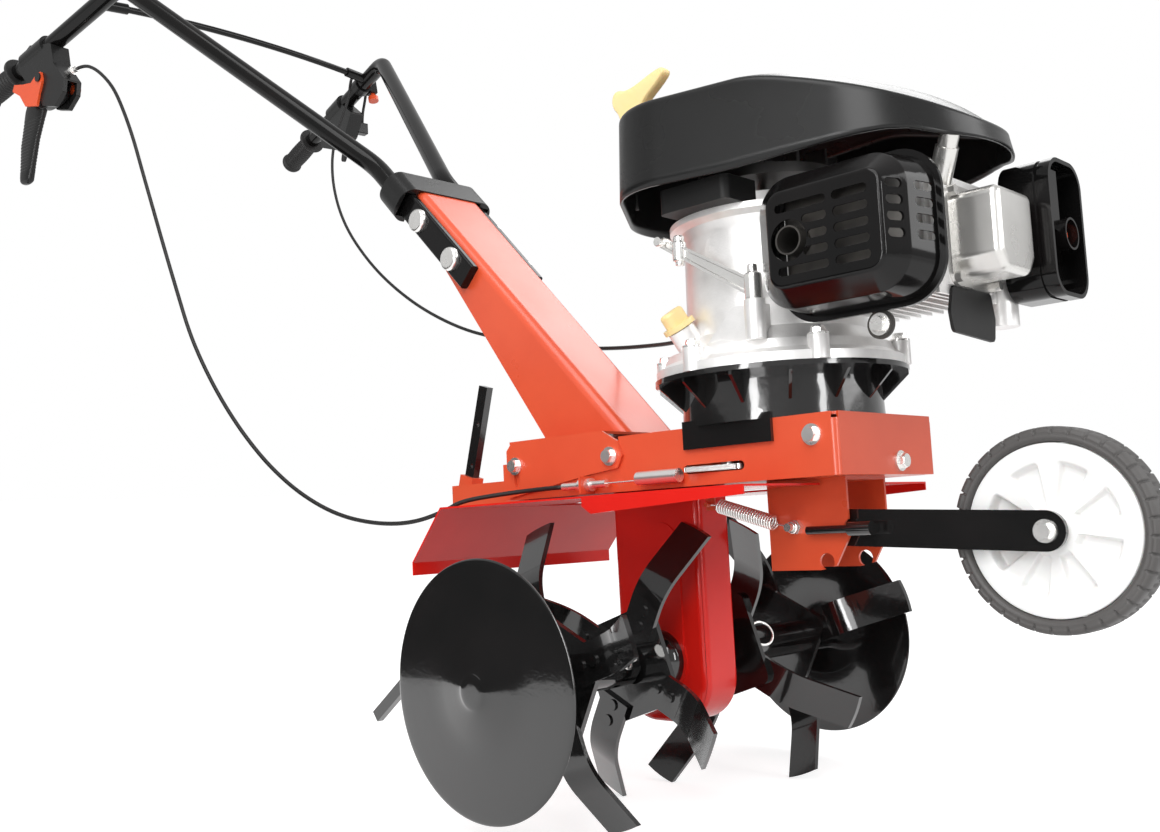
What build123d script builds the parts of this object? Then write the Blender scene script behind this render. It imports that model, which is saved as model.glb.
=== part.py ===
from build123d import *
import os
from math import atan2, cos, degrees, hypot, pi, radians, sin, tan

# Garden tiller with a vertical-shaft engine, in millimetres. It is built level, with X forward, Y to its
# left, Z up and zero at the middle of the tine axle, then stood nose-up on its tines and drag stake.

# How it stands
PITCH = 4.0
AXLE_FORWARD = 361.2

# Sheet, clearances and fasteners
SHEET = 3.0
THIN_SHEET = 2.0
GAP = 0.3
RUN = 0.05
FIT = 0.1
BOLT_RADIUS = 4.0
BOLT_HEAD = 7.5
BOLT_HEIGHT = 6.0
WASHER_RADIUS = 10.0
WASHER_THICK = 2.0

# Main frame
FRAME_FRONT = 274.0
FRAME_REAR = -170.0
FRAME_HALF = 89.5
FRAME_TOP = 238.5
FRAME_BOTTOM = 180.5
RAIL_STEP_X = 10.0
RAIL_STEP_Z = 222.0
FRAME_CORNER = 6.0

# Column, its saddle and its tilt
PIVOT_X = 0.0
PIVOT_Z = 218.5
SLOT_BOLT_X = -145.0
TILT_DOWN = 2.0
TILT_UP = 8.0
SADDLE_TOP = 246.5
SADDLE_REAR = -160.0
COLUMN_FOOT_X = -17.0
COLUMN_HEAD_X = -358.5
COLUMN_HEAD_Z = 604.5
COLUMN_FOOT_HALF = 45.0
COLUMN_HEAD_HALF = 52.0
COLUMN_FOOT_DEPTH = 122.0
COLUMN_HEAD_DEPTH = 42.0
COLUMN_EDGE = 12.0
COLUMN_WAIST = (-309.0, 487.0)

# Handlebars
TUBE_RADIUS = 13.0
TUBE_WALL = 2.0
HANDLE_APEX = (-792.0, 237.6, 976.6)
HANDLE_END = (-1162.0, 288.6, 898.5)
HANDLE_FOOT_AT = 318.0
HANDLE_KNEE_AT = 572.0
HANDLE_DEPTH = 23.0
HANDLE_FLAT_END = 524.0
HANDLE_NECK = 24.0
HANDLE_BOLTS_AT = (356.0, 441.0)
GRIP_LENGTH = 96.0
KNEE_RADIUS = 120.0
APEX_RADIUS = 42.0
GRIP_RADIUS = 17.0
GRIP_FLANGE = 24.0

# Tail and drag stake
TAIL_HALF = 32.0
TAIL_REAR = -330.0
TAIL_TOP = 207.0
TAIL_BOTTOM = 176.0
STAKE_WIDTH = 16.0
STAKE_DEPTH = 10.0
STAKE_TOP = (-293.0, 332.0)
STAKE_LEAN = 17.0
STAKE_STRAIGHT = 330.0
STAKE_FOOT = (-547.0, -100.0)

# Wheel and its arm
BRACKET_HALF = 35.0
BRACKET_REAR = 157.0
BRACKET_FRONT = 247.0
BRACKET_LOW = 93.0
ARM_PIVOT = (190.0, 135.0)
WHEEL_AT = (430.0, 122.0)
ARM_HEIGHT = 35.0
ARM_THICK = 5.0
ARM_FACE = -27.0
TYRE_RADIUS = 89.0
RIM_RADIUS = 75.0
WHEEL_WIDTH = 36.0
WHEEL_NEAR = -17.0
AXLE_RADIUS = 6.0
SPOKES = 8

# Gear case and drive
CASE_HALF = 61.0
CASE_DEPTH = 28.0
CASE_LOW = -66.0
CASE_CORNER = 46.0
CASE_WALL = 2.5
SHAFT_RADIUS = 12.5
SHAFT_HALF = 150.0
WHEEL_TEETH = 24
WORM_PITCH_RADIUS = 11.0
GEAR_PITCH_RADIUS = 31.0
INPUT_RADIUS = 8.0
BELT_Z = 212.0
DRIVEN_RADIUS = 52.0
ENGINE_PULLEY = 30.0
BELT_HALF = 5.0

# Tines and discs
TINE_RADIUS = 155.0
TINE_PHASE = 63.5
INNER_PLATE_Y = 79.0
OUTER_PLATE_Y = 190.0
PLATE_THICK = 6.0
PLATE_HALF = 52.0
BLADE_WIDTH = 38.0
BLADE_THICK = 5.0
BLADE_ROOT = 38.0
BLADE_BEND_AT = 92.0
BLADE_BEND = 35.0
BLADE_BEND_RADIUS = 70.0
INNER_TUBE = 16.0
OUTER_TUBE = 20.0
PIN_Y = 104.0
PIN_RADIUS = 4.0
DISC_RADIUS = 121.5
DISC_Y = 289.0
DISC_THICK = 2.5
DISC_SEAT = DISC_Y + 3.3

# Engine
ENGINE_X = 157.0
ADAPTER_TOP = 289.0
ADAPTER_RADIUS = FRAME_HALF + 10.5
FLANGE_RADIUS = ADAPTER_RADIUS + 28.0
SUMP_TOP = 312.0
CASE_RADIUS = 92.0
CRANKCASE_TOP = 462.0
CASE_FLANGE = (442.0, 448.0)
COVER_LOW = 468.0
COVER_REAR_RADIUS = 160.0
COVER_TOP = 550.0
CYLINDER_Z = 388.0
CRANK_RADIUS = 11.0
FLYWHEEL_Z = 482.0
FLYWHEEL_RADIUS = 74.0

# Holes, tabs and clutch run on the frame
INPUT_X = -(WORM_PITCH_RADIUS + GEAR_PITCH_RADIUS)
FRAME_BOLT = (248.0, 219.0)
FRONT_BOLT = (20.0, 193.5)
RELIEF_RADIUS = 3.5
LEVER_SLOT = (133.0, 197.0)
LEVER_SLOT_LENGTH = 74.0
LEVER_SLOT_HEIGHT = 9.0
CABLE_TAB = (-30.0, 190.0)
CABLE_Y = -FRAME_HALF - 10.5
ADJUSTER_RADIUS = 4.0
IDLER_STUD = 5.0
SPRING_TUBE = (44.0, 98.0)

# Stake sleeve and holes, fender
SLEEVE_AT = 118.0
SLEEVE_LENGTH = 46.0
SLEEVE_WALL = 4.0
STAKE_HOLE = 4.0
STAKE_HOLES = (50.0, 104.0)
FENDER_HALF = 165.0
FENDER_INNER = 42.0
FENDER_REAR = (-195.0, -248.0)
FENDER_LOW = 116.0
FENDER_FLANGE = 15.0
FENDER_FRONT = 222.0
FENDER_LIP = (24.0, 18.0, 9.0)

# Wheel bracket and its spring
BRACKET_NOTCHES = ((221.0, 101.0, 8.0), (250.0, 133.0, 8.0))
SPRING_RADIUS = 6.5
SPRING_WIRE = 1.1
SPRING_TURNS = 22
SPRING_BACK = (96.0, 162.0)
SPRING_Y = -46.0
SPRING_PIN = 2.5

# Gear case details, seals, bearings and worm
CASE_EDGE = 9.0
PANEL_RISE = 1.5
SEAL_RADIUS = 32.0
SEAL_REACH = 20.0
BEARING_RADIUS = 22.0
BEARING_WIDTH = 10.0
INPUT_BEARINGS = (FRAME_BOTTOM - CASE_WALL - BEARING_WIDTH, 44.0)
THREAD_DEPTH = 5.0
WORM_TURNS = 6
THREAD_WIDTH = 2.3

# Belt tightener
IDLER_PIVOT = (134.0, -FRAME_HALF + 25.5)
IDLER_AT = (88.0, -61.0)
IDLER_RADIUS = 12.0
BAR_KNEE = (160.0, -FRAME_HALF + 5.5)
BAR_END = (106.0, -FRAME_HALF - 7.5)

# Worm wheel, hitch pins and rivets
WORM_FACE = 6.0
PIN_TURN = 62.0
RIVETS = (46.0, 64.0)

# Flattened handlebar feet, column cap and brace
FLAT_HALF = 6.0
FLAT_WIDE = 17.0
DOME_RADIUS = 15.0
CAP_WALL = 6.0
CAP_HEIGHT = 50.0
CAP_LENGTH = 42.0
CAP_LAP = 17.0
BRACE_AT = 58.0
BRACE_BOW = 12.0

# Engine adapter and oil filler
ADAPTER_RIBS = 14
RIB_HALF = 1.5
TAB_X = (100.0, 206.0)
TAB_DROP = 22.0
FILLER_AT = (108.0, -96.0, 337.0)
FILLER_LEAN = 32.0
FILLER_TURN = -117.0
FILLER_RADIUS = 14.0
KNOB_WIDTH = 17.0
KNOB_HEIGHT = 15.0

# Cylinder, head and valve cover
HEAD_X = 345.0
FIN_X = tuple(262.0 + 12 * k for k in range(7))
PLUG_AT = (357.0, -26.0, 430.0)
COVER_DEPTH = 46.0

# Muffler and guard
MUFFLER_X = (262.0, 362.0)
MUFFLER_Y = (-136.0, -88.0)
MUFFLER_Z = (344.0, 436.0)
MUFFLER_LUG = (325.0, 309.0)
GUARD_SECTIONS = (
    (-152.0, (256.5, 369.5), (344.0, 429.5), 14.0), (-126.0, (231.0, 381.0), (329.0, 450.0), 34.0),
    (-88.0, (231.0, 389.0), (325.0, 453.0), 36.0))
SLOT_TOP = 414.5
SLOT_STEP = 14.1
SLOT_HEIGHT = 8.0
LEFT_SLOTS = ((291.3, 52.0), (304.8, 25.0), (307.0, 20.0), (304.8, 25.0), (291.3, 52.0))
RIGHT_SLOT = (340.5, 34.0)
GUARD_WALL = 1.5
OUTLET_AT = (278.0, 385.0)
OUTLET_RADIUS = 13.0
OUTLET_HOLE = 18.5

# Recoil cover and starter
POST_TURNS = (45.0, 135.0, 232.0, 315.0)
TANK_X = (110.0, 194.0)
COVER_FRONT = 275.0
COVER_FRONT_Y = 10.0
COVER_FRONT_RADIUS = 130.0
COVER_WALL = 3.0
COVER_DRAFT = 5.0
COVER_BREAK = 215.0
COVER_FALL = 0.0264
CROWN_REAR = 14.0
CROWN_FRONT = 31.0
CROWN_REACH = 85.0
STARTER_AT = (44.0, -78.0)
STARTER_RISE = 2.5
ROPE_RADIUS = 2.0

# Air filter and primer
FILTER_FRONT = 428.0
FILTER_REAR = 380.0
PRIMER_RADIUS = 13.0
PRIMER_AT = (90.0, 394.0)
FILTER_AT = (87.5, CYLINDER_Z + 11)
FILTER_SIZE = (75.0, 130.0)
FILTER_CORNER = 24.0
FILTER_LIP = 2.0
PAN_DEPTH = 22.0

# Governor lever
GOVERNOR_AT = (204.0, -104.0)
GOVERNOR_TIP = (90.0, 431.0)
GOVERNOR_Z = 372.0
GOVERNOR_SHAFT = 5.0

# Controls, drawn on an upright plane along each upper tube
CONTROL_AT = 159.0
STOP_AT = 80.0
THROTTLE_BODY = [(-60, 925), (25, 941), (58, 916), (32, 881), (-5, 864), (-62, 884)]
THROTTLE_PIVOT = (-8.0, 892.0)
LEVER_PIN = 4.0
LEVER_HALF = 7.0
BUTTON_AT = (10.0, 858.0)
BUTTON_RADIUS = 8.5
CLAMP_WALL = 5.0
CLUTCH_BODY = [(-67, 943), (-8, 930), (-2, 898), (26, 866), (23, 845), (0, 828), (-31, 836), (-42, 852),
               (-76, 884), (-104, 915), (-95, 930)]
CLUTCH_SLOT = [(-26, 896), (-8, 868), (40, 862), (40, 820), (-60, 820), (-120, 870), (-120, 912),
               (-76, 912), (-44, 893)]
CLUTCH_PIVOT = (-6.0, 852.0)
CLUTCH_SCREWS = [(-52, 922), (-62, 900)]
LEVER_BLADE = [(-50, 836), (-70, 797), (-90, 737), (-104, 731), (-119, 740), (-116, 792), (-102, 846),
               (-92, 862), (-50, 860)]
LATCH_PIVOT = (-36.0, 882.0)
CLUTCH_CABLE_AT = (8.0, 881.0)
LATCH_OUTLINE = [(-44, 888), (-30, 890), (-27, 874), (-36, 855), (-42, 838), (-74, 845), (-90, 866),
                 (-111, 878), (-106, 888), (-80, 882), (-58, 879)]

# Cables
CLUTCH_ROUTE = (
    (-906.3, -253.35, 881), (-888.5, -250.9, 881), (-857, -250, 867), (-823, -250, 843),
                (-791, -250.5, 814),
    (-761, -251.5, 773), (-732, -252.5, 726), (-703, -253.5, 668), (-675, -254, 612), (-645, -253.5, 548),
    (-616, -251, 482), (-593, -247, 424), (-565, -240, 371), (-533, -232, 322), (-497, -223, 277),
    (-456, -214, 237), (-409, -203, 202), (-355, -190, 175), (-299, -176, 162), (-250, -161, 160.5),
    (-209, -146, 172), (-190, -138.5, 182), (-152, -121, 186.5), (-106, CABLE_Y, 190),
                (-64.3, CABLE_Y, 190))
THROTTLE_ROUTE = (
    (-911, 278.3, 908.4), (-910, 278.2, 925), (-902, 277.5, 943), (-892, 275, 960.9),
                  (-888.5, 267.9, 974.6),
    (-882.5, 255.6, 982.5), (-875.5, 241.4, 982.5), (-869.5, 229.1, 974.6), (-866, 222, 960.9),
                  (-868, 218.5, 932),
    (-884, 216, 903), (-903, 214, 873), (-913, 211.5, 840), (-911, 208, 805), (-902, 205, 768),
                  (-885, 203, 726),
    (-857, 201, 682), (-818, 199, 638), (-772, 196, 595.5), (-715, 191, 553.5), (-647, 182, 513),
                  (-579, 172, 480),
    (-512, 160, 453), (-452, 149, 434), (-385, 135.5, 416.5), (-318, 122, 400), (-256, 108.5, 386.5),
                  (-195, 95, 374.5),
    (-131, 80, 365), (-75, 66, 358.5), (-20, 47, 352.5), (30, 20, 349.7),
    (ENGINE_X - CASE_RADIUS - 0.2, 8, 349))
CABLE_RADIUS = 2.5


def block(x0, x1, y0, y1, z0, z1):
    """A box between two corners."""
    return Pos((x0 + x1) / 2, (y0 + y1) / 2, (z0 + z1) / 2) * Box(x1 - x0, y1 - y0, z1 - z0)


def rod_x(radius, x0, x1, y, z):
    return Pos((x0 + x1) / 2, y, z) * Rot(0, 90, 0) * Cylinder(radius, x1 - x0)


def rod_y(radius, y0, y1, x, z):
    return Pos(x, (y0 + y1) / 2, z) * Rot(90, 0, 0) * Cylinder(radius, y1 - y0)


def rod_z(radius, z0, z1, x, y):
    return Pos(x, y, (z0 + z1) / 2) * Cylinder(radius, z1 - z0)


def outline(points, corner=0.0):
    """A flat face through points, with all its corners rounded alike."""
    face = make_face(Polyline(*points, close=True))
    return fillet(face.vertices(), corner) if corner else face


def side_plane(y):
    """Plane of the machine's side at y, drawn with X to the right and Z up, facing -Y."""
    return Plane(origin=(0, y, 0), x_dir=(1, 0, 0), z_dir=(0, -1, 0))


def plate_xz(face, y0, y1):
    """A sheet standing along the machine, from a face drawn in X and Z."""
    return extrude(side_plane(y1) * face, amount=y1 - y0)


def plate_yz(face, x0, x1):
    """A sheet standing across the machine, from a face drawn in Y and Z."""
    return extrude(Plane(origin=(x0, 0, 0), x_dir=(0, 1, 0), z_dir=(1, 0, 0)) * face, amount=x1 - x0)


def plate_xy(face, z0, z1):
    """A level sheet, from a face drawn in X and Y."""
    return extrude(Pos(0, 0, z0) * face, amount=z1 - z0)


def turned(points, axis_at=(0, 0, 0), along="z"):
    """A solid of revolution from (radius, height) points, standing on axis_at along Z, X or Y."""
    face = Plane.XZ * make_face(Polyline(*points, close=True))
    solid = revolve(face, Axis.Z)
    tip = {"z": Rot(0, 0, 0), "x": Rot(0, 90, 0), "y": Rot(-90, 0, 0)}[along]
    return Pos(*axis_at) * tip * solid


def both_sides(part):
    """A piece and its mirror image across the machine."""
    return [part, mirror(part, about=Plane.XZ)]


def hex_bolt(length=0.0):
    """A hex bolt with its washer, head up, its washer's underside at z = 0 and its shank downwards."""
    head = Pos(0, 0, WASHER_THICK) * extrude(RegularPolygon(BOLT_HEAD, 6), amount=BOLT_HEIGHT)
    taper = Cylinder(2 * BOLT_HEAD, BOLT_HEIGHT) - Cone(BOLT_HEAD * 1.02, BOLT_HEAD * 0.7, BOLT_HEIGHT)
    head = head - Pos(0, 0, WASHER_THICK + BOLT_HEIGHT) * taper
    bolt = head + Pos(0, 0, WASHER_THICK / 2) * Cylinder(WASHER_RADIUS, WASHER_THICK)
    return bolt + Pos(0, 0, -length / 2) * Cylinder(BOLT_RADIUS, length) if length else bolt


def bolt_y(x, y, z, length):
    """A hex bolt whose washer seats on the face at y and whose head points away from the middle."""
    turn = Rot(90, 0, 0) if y < 0 else Rot(-90, 0, 0)
    return Pos(x, y, z) * turn * hex_bolt(length)


# Main frame and what is fixed to it

def rail_face():
    """Side view of one rail: deep at the engine, lower behind the column's pivot."""
    return outline([
        (FRAME_FRONT, FRAME_BOTTOM), (FRAME_FRONT, FRAME_TOP), (RAIL_STEP_X, FRAME_TOP),
        (RAIL_STEP_X, RAIL_STEP_Z), (FRAME_REAR, RAIL_STEP_Z), (FRAME_REAR, FRAME_BOTTOM)])


def main_frame():
    body = plate_xz(rail_face(), -FRAME_HALF, FRAME_HALF)
    upright = [e for e in body.edges().filter_by(Axis.Z) if e.center().X > FRAME_FRONT - 1]
    body = fillet(upright, FRAME_CORNER)
    inside = block(FRAME_REAR + SHEET, FRAME_FRONT - SHEET, -FRAME_HALF + SHEET, FRAME_HALF - SHEET,
                   FRAME_BOTTOM + SHEET, FRAME_TOP - SHEET)
    open_rear = block(FRAME_REAR + SHEET, RAIL_STEP_X + SHEET, -FRAME_HALF + SHEET, FRAME_HALF - SHEET,
                      FRAME_BOTTOM + SHEET, FRAME_TOP + 1)
    body = body - inside - open_rear
    # engine opening in the top plate, input shaft hole and bolt holes
    cuts = [rod_z(ENGINE_PULLEY + 32, FRAME_TOP - 2 * SHEET, FRAME_TOP + 1, ENGINE_X, 0)]
    cuts.append(rod_z(INPUT_RADIUS + 12, FRAME_BOTTOM - 1, FRAME_BOTTOM + 2 * SHEET, INPUT_X, 0))
    for x in (PIVOT_X, SLOT_BOLT_X):
        cuts.append(rod_y(BOLT_RADIUS + FIT, -FRAME_HALF - 1, FRAME_HALF + 1, x, PIVOT_Z))
    cuts.append(rod_y(BOLT_RADIUS + FIT, -FRAME_HALF - 1, FRAME_HALF + 1, FRAME_BOLT[0], FRAME_BOLT[1]))
    cuts.append(rod_x(BOLT_RADIUS + FIT, FRAME_FRONT - 2 * SHEET, FRAME_FRONT + 1, FRONT_BOLT[0],
                      FRONT_BOLT[1]))
    # relief holes at the front corners and the slot for the clutch bar
    for side in (-1, 1):
        cuts.append(rod_z(RELIEF_RADIUS, FRAME_TOP - 2 * SHEET, FRAME_TOP + 1, FRAME_FRONT - SHEET,
                          side * (FRAME_HALF - SHEET)))
    cuts.append(plate_xz(Pos(*LEVER_SLOT) * SlotOverall(LEVER_SLOT_LENGTH, LEVER_SLOT_HEIGHT),
                         -FRAME_HALF - 1,
                         -FRAME_HALF + 2 * SHEET))
    # idler stud, cable tab and spring tab
    stud = rod_z(IDLER_STUD, FRAME_BOTTOM + SHEET - 0.5, FRAME_TOP - SHEET + 0.5, *IDLER_PIVOT)
    tab = block(CABLE_TAB[0], CABLE_TAB[0] + SHEET, -FRAME_HALF - 22, -FRAME_HALF, CABLE_TAB[1] - 9,
                CABLE_TAB[1] + 9)
    tab = tab - rod_x(ADJUSTER_RADIUS + FIT, CABLE_TAB[0] - 1, CABLE_TAB[0] + SHEET + 1, CABLE_Y,
                      CABLE_TAB[1])
    hook = block(SPRING_BACK[0] - 12, SPRING_BACK[0] - 1, SPRING_Y + 4, SPRING_Y + 6, SPRING_BACK[1] - 6,
                 FRAME_BOTTOM)
    hook = hook + rod_y(SPRING_PIN, SPRING_Y - 4, SPRING_Y + 5, SPRING_BACK[0] - 6.5, SPRING_BACK[1])
    return body - cuts + stud + tab + hook


def stake_frame():
    """Plane whose Z runs down the drag stake, from its top, and whose X lies across its width."""
    lean = radians(STAKE_LEAN)
    return Plane(origin=(STAKE_TOP[0], 0, STAKE_TOP[1]), x_dir=(cos(lean), 0, -sin(lean)),
                 z_dir=(-sin(lean), 0, -cos(lean)))


def tail_beam():
    """Channel open underneath, with the slanted sleeve for the drag stake at its end."""
    beam = block(TAIL_REAR, FRAME_REAR, -TAIL_HALF, TAIL_HALF, TAIL_BOTTOM, TAIL_TOP)
    beam = beam - block(TAIL_REAR + SHEET, FRAME_REAR - SHEET, -TAIL_HALF + SHEET, TAIL_HALF - SHEET,
                        TAIL_BOTTOM - 1, TAIL_TOP - SHEET)
    frame = stake_frame()
    width = STAKE_WIDTH + 2 * (GAP + SLEEVE_WALL)
    depth = STAKE_DEPTH + 2 * (GAP + SLEEVE_WALL)
    sleeve = frame * Pos(0, 0, SLEEVE_AT + SLEEVE_LENGTH / 2) * Box(width, depth, SLEEVE_LENGTH)
    hole = frame * Pos(0, 0, SLEEVE_AT) * Box(STAKE_WIDTH + 2 * GAP, STAKE_DEPTH + 2 * GAP,
                                              6 * SLEEVE_LENGTH)
    return beam + sleeve - hole


def drag_stake():
    """Flat bar, straight through its sleeve and then bent backwards to a foot on the ground."""
    lean = radians(STAKE_LEAN)
    bend = (STAKE_TOP[0] - STAKE_STRAIGHT * sin(lean), STAKE_TOP[1] - STAKE_STRAIGHT * cos(lean))
    path = FilletPolyline((STAKE_TOP[0], 0, STAKE_TOP[1]), (bend[0], 0, bend[1]),
                          (STAKE_FOOT[0], 0, STAKE_FOOT[1]),
                          radius=60)
    bar = sweep(stake_frame() * Rectangle(STAKE_WIDTH, STAKE_DEPTH), path=path)
    holes = [stake_frame() * Pos(0, 0, at) * Rot(90, 0, 0) * Cylinder(STAKE_HOLE, 4 * STAKE_DEPTH)
             for at in STAKE_HOLES]
    return bar - holes


def fender():
    """One folded sheet: a level plate beside the gear case, a rear slope with its flange and side lips."""
    top = TAIL_BOTTOM
    slope = [(FENDER_FRONT, top), (FENDER_REAR[0], top), (FENDER_REAR[1], FENDER_LOW),
             (FENDER_REAR[1], FENDER_LOW - FENDER_FLANGE)]
    under = [(slope[3][0] + THIN_SHEET, slope[3][1]), (slope[2][0] + THIN_SHEET, slope[2][1] - 0.6),
             (slope[1][0] + 0.9, top - THIN_SHEET), (FENDER_FRONT, top - THIN_SHEET)]
    sheet = plate_xz(outline(slope + under), -FENDER_HALF, FENDER_HALF)
    middle = block(FENDER_REAR[0] + 20, FENDER_FRONT + 1, -FENDER_INNER, FENDER_INNER, top - 10, top + 1)
    lip_face = outline([(FENDER_LIP[0], top), (FENDER_FRONT, top), (FENDER_FRONT, top - FENDER_LIP[2]),
                        (FENDER_LIP[0] + 12, top - FENDER_LIP[1]),
                        (FENDER_LIP[0], top - FENDER_LIP[1] + 8)])
    lip = plate_xz(lip_face, -FENDER_HALF, -FENDER_HALF + THIN_SHEET)
    return sheet - middle + both_sides(lip)


def wheel_bracket():
    """Two plates with notches along their front edge, joined by a web under the frame."""
    face = outline([(BRACKET_REAR, FRAME_BOTTOM), (BRACKET_FRONT, FRAME_BOTTOM), (BRACKET_FRONT, 124),
                    (231, 97), (214, BRACKET_LOW), (BRACKET_REAR, BRACKET_LOW)])
    for x, z, radius in BRACKET_NOTCHES:
        face = face - Pos(x, z) * Circle(radius)
    face = face - Pos(*ARM_PIVOT) * Circle(BOLT_RADIUS + FIT)
    near = plate_xz(face, -BRACKET_HALF - SHEET / 2, -BRACKET_HALF + SHEET / 2)
    web = block(BRACKET_REAR, BRACKET_FRONT, -BRACKET_HALF, BRACKET_HALF, FRAME_BOTTOM - SHEET,
                FRAME_BOTTOM)
    return web + both_sides(near)


def bracket_spring():
    """Close-wound extension spring from the frame's tab to the wheel arm's pivot bolt, in one wire."""
    start = Vector(SPRING_BACK[0] + 8, SPRING_Y, SPRING_BACK[1] - 2)
    end = Vector(ARM_PIVOT[0] - 20, SPRING_Y, ARM_PIVOT[1] + 5)
    along = (end - start).normalized()
    length = (end - start).length
    frame = Plane(origin=start, x_dir=(0, 1, 0), z_dir=along)
    pitch = length / SPRING_TURNS
    helix = frame * Helix(pitch=pitch, height=length, radius=SPRING_RADIUS)
    coil = sweep(Plane(origin=helix @ 0, z_dir=helix % 0) * Circle(SPRING_WIRE), path=helix)
    print("spring gap between turns", round(pitch - 2 * SPRING_WIRE, 2))
    back_pin = Vector(SPRING_BACK[0] - 6.5, SPRING_Y, SPRING_BACK[1])
    front_pin = Vector(ARM_PIVOT[0], SPRING_Y, ARM_PIVOT[1])
    back_eye = SPRING_PIN + SPRING_WIRE + FIT
    front_eye = BOLT_RADIUS + SPRING_WIRE + FIT
    back_way = (start + along * -4 - back_pin).normalized()
    front_way = (end + along * 4 - front_pin).normalized()
    back = [helix @ 0 + along * 0.4, start + along * -4, back_pin + back_way * back_eye]
    front = [helix @ 1 + along * -0.4, end + along * 4, front_pin + front_way * front_eye]
    ends = []
    for route in (back, front):
        line = Polyline(*route)
        ends.append(sweep(Plane(origin=line @ 0, z_dir=line % 0) * Circle(SPRING_WIRE), path=line,
                          transition=Transition.ROUND))
    eyes = [Pos(*pin) * Rot(90, 0, 0) * Torus(eye, SPRING_WIRE)
            for pin, eye in ((back_pin, back_eye), (front_pin, front_eye))]
    return coil + ends + eyes


# Gear case, drive shafts and belt

def case_face(inset=0.0):
    """Front view of the leg: straight sides and a rounded foot round the axle."""
    half = CASE_HALF - inset
    face = outline([(-half, FRAME_BOTTOM - inset), (half, FRAME_BOTTOM - inset), (half, CASE_LOW + inset),
                    (-half, CASE_LOW + inset)])
    low = face.vertices().sort_by(Axis.Y)[:2]
    return fillet(low, CASE_CORNER - inset)


def gear_case():
    """Pressed leg, hollow, closed at its top under the frame's plate."""
    outer = plate_xz(case_face(), -CASE_DEPTH, CASE_DEPTH)
    rims = [e for e in outer.edges() if abs(abs(e.center().Y)
                                            - CASE_DEPTH) < 0.01 and e.center().Z < FRAME_BOTTOM - 1]
    outer = fillet(rims, CASE_EDGE)
    inner = plate_xz(case_face(CASE_WALL), -CASE_DEPTH + CASE_WALL, CASE_DEPTH - CASE_WALL)
    face = CASE_DEPTH + PANEL_RISE
    panel = plate_xz(Pos(0, 72) * RectangleRounded(66, 150, 26), -face, face)
    collar = rod_y(SEAL_RADIUS + 4, -face, face, 0, 0)
    hub = rod_y(SHAFT_RADIUS + GAP, -CASE_DEPTH - 10, CASE_DEPTH + 10, 0, 0)
    shaft = rod_z(INPUT_RADIUS + GAP, FRAME_BOTTOM - 6, FRAME_BOTTOM + 1, INPUT_X, 0)
    return outer + panel + collar - inner - hub - shaft


def axle_seals():
    """Domed black covers over the axle bearings."""
    base = CASE_DEPTH + PANEL_RISE
    bore = SHAFT_RADIUS + GAP
    profile = make_face(Polyline((bore, base), (SEAL_RADIUS, base), (SEAL_RADIUS, base + 5))
                        + ThreePointArc((SEAL_RADIUS, base + 5), (26.5, base + 15.5),
                                        (bore + 3, base + SEAL_REACH))
                        + Polyline((bore + 3, base + SEAL_REACH), (bore, base + SEAL_REACH), (bore, base)))
    dome = Rot(90, 0, 0) * revolve(Plane.XZ * profile, Axis.Z)
    return both_sides(dome)


def axle_bearings():
    """Bearing rings of the tine shaft and bearing blocks of the input shaft, inside the case."""
    rings = []
    inner = CASE_DEPTH - CASE_WALL
    ring = rod_y(BEARING_RADIUS, -inner, -inner + BEARING_WIDTH, 0, 0)
    ring = ring - rod_y(SHAFT_RADIUS + RUN, -CASE_DEPTH, CASE_DEPTH, 0, 0)
    rings += both_sides(ring)
    wall = -CASE_HALF + CASE_WALL
    for z in INPUT_BEARINGS:
        outer = rod_z(INPUT_RADIUS + 7, z, z + BEARING_WIDTH, INPUT_X, 0)
        foot = block(wall, INPUT_X, -INPUT_RADIUS - 4, INPUT_RADIUS + 4, z, z + BEARING_WIDTH)
        rings.append(outer + foot - rod_z(INPUT_RADIUS + RUN, z - 1, z + BEARING_WIDTH + 1, INPUT_X, 0))
    return rings


def worm_lead():
    """Axial pitch of the worm, equal to the worm wheel's tooth pitch."""
    return 2 * pi * GEAR_PITCH_RADIUS / WHEEL_TEETH


def pulley(radius, bore, z):
    """V-belt pulley with its groove at height z, on the Z axis."""
    rim = radius + 6
    points = [(bore, z - 10), (rim, z - 9), (rim, z - 7), (radius - 4, z - 2.5), (radius - 4, z + 2.5),
              (rim, z + 7),
              (rim, z + 9), (bore, z + 10)]
    return turned(points)


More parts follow.
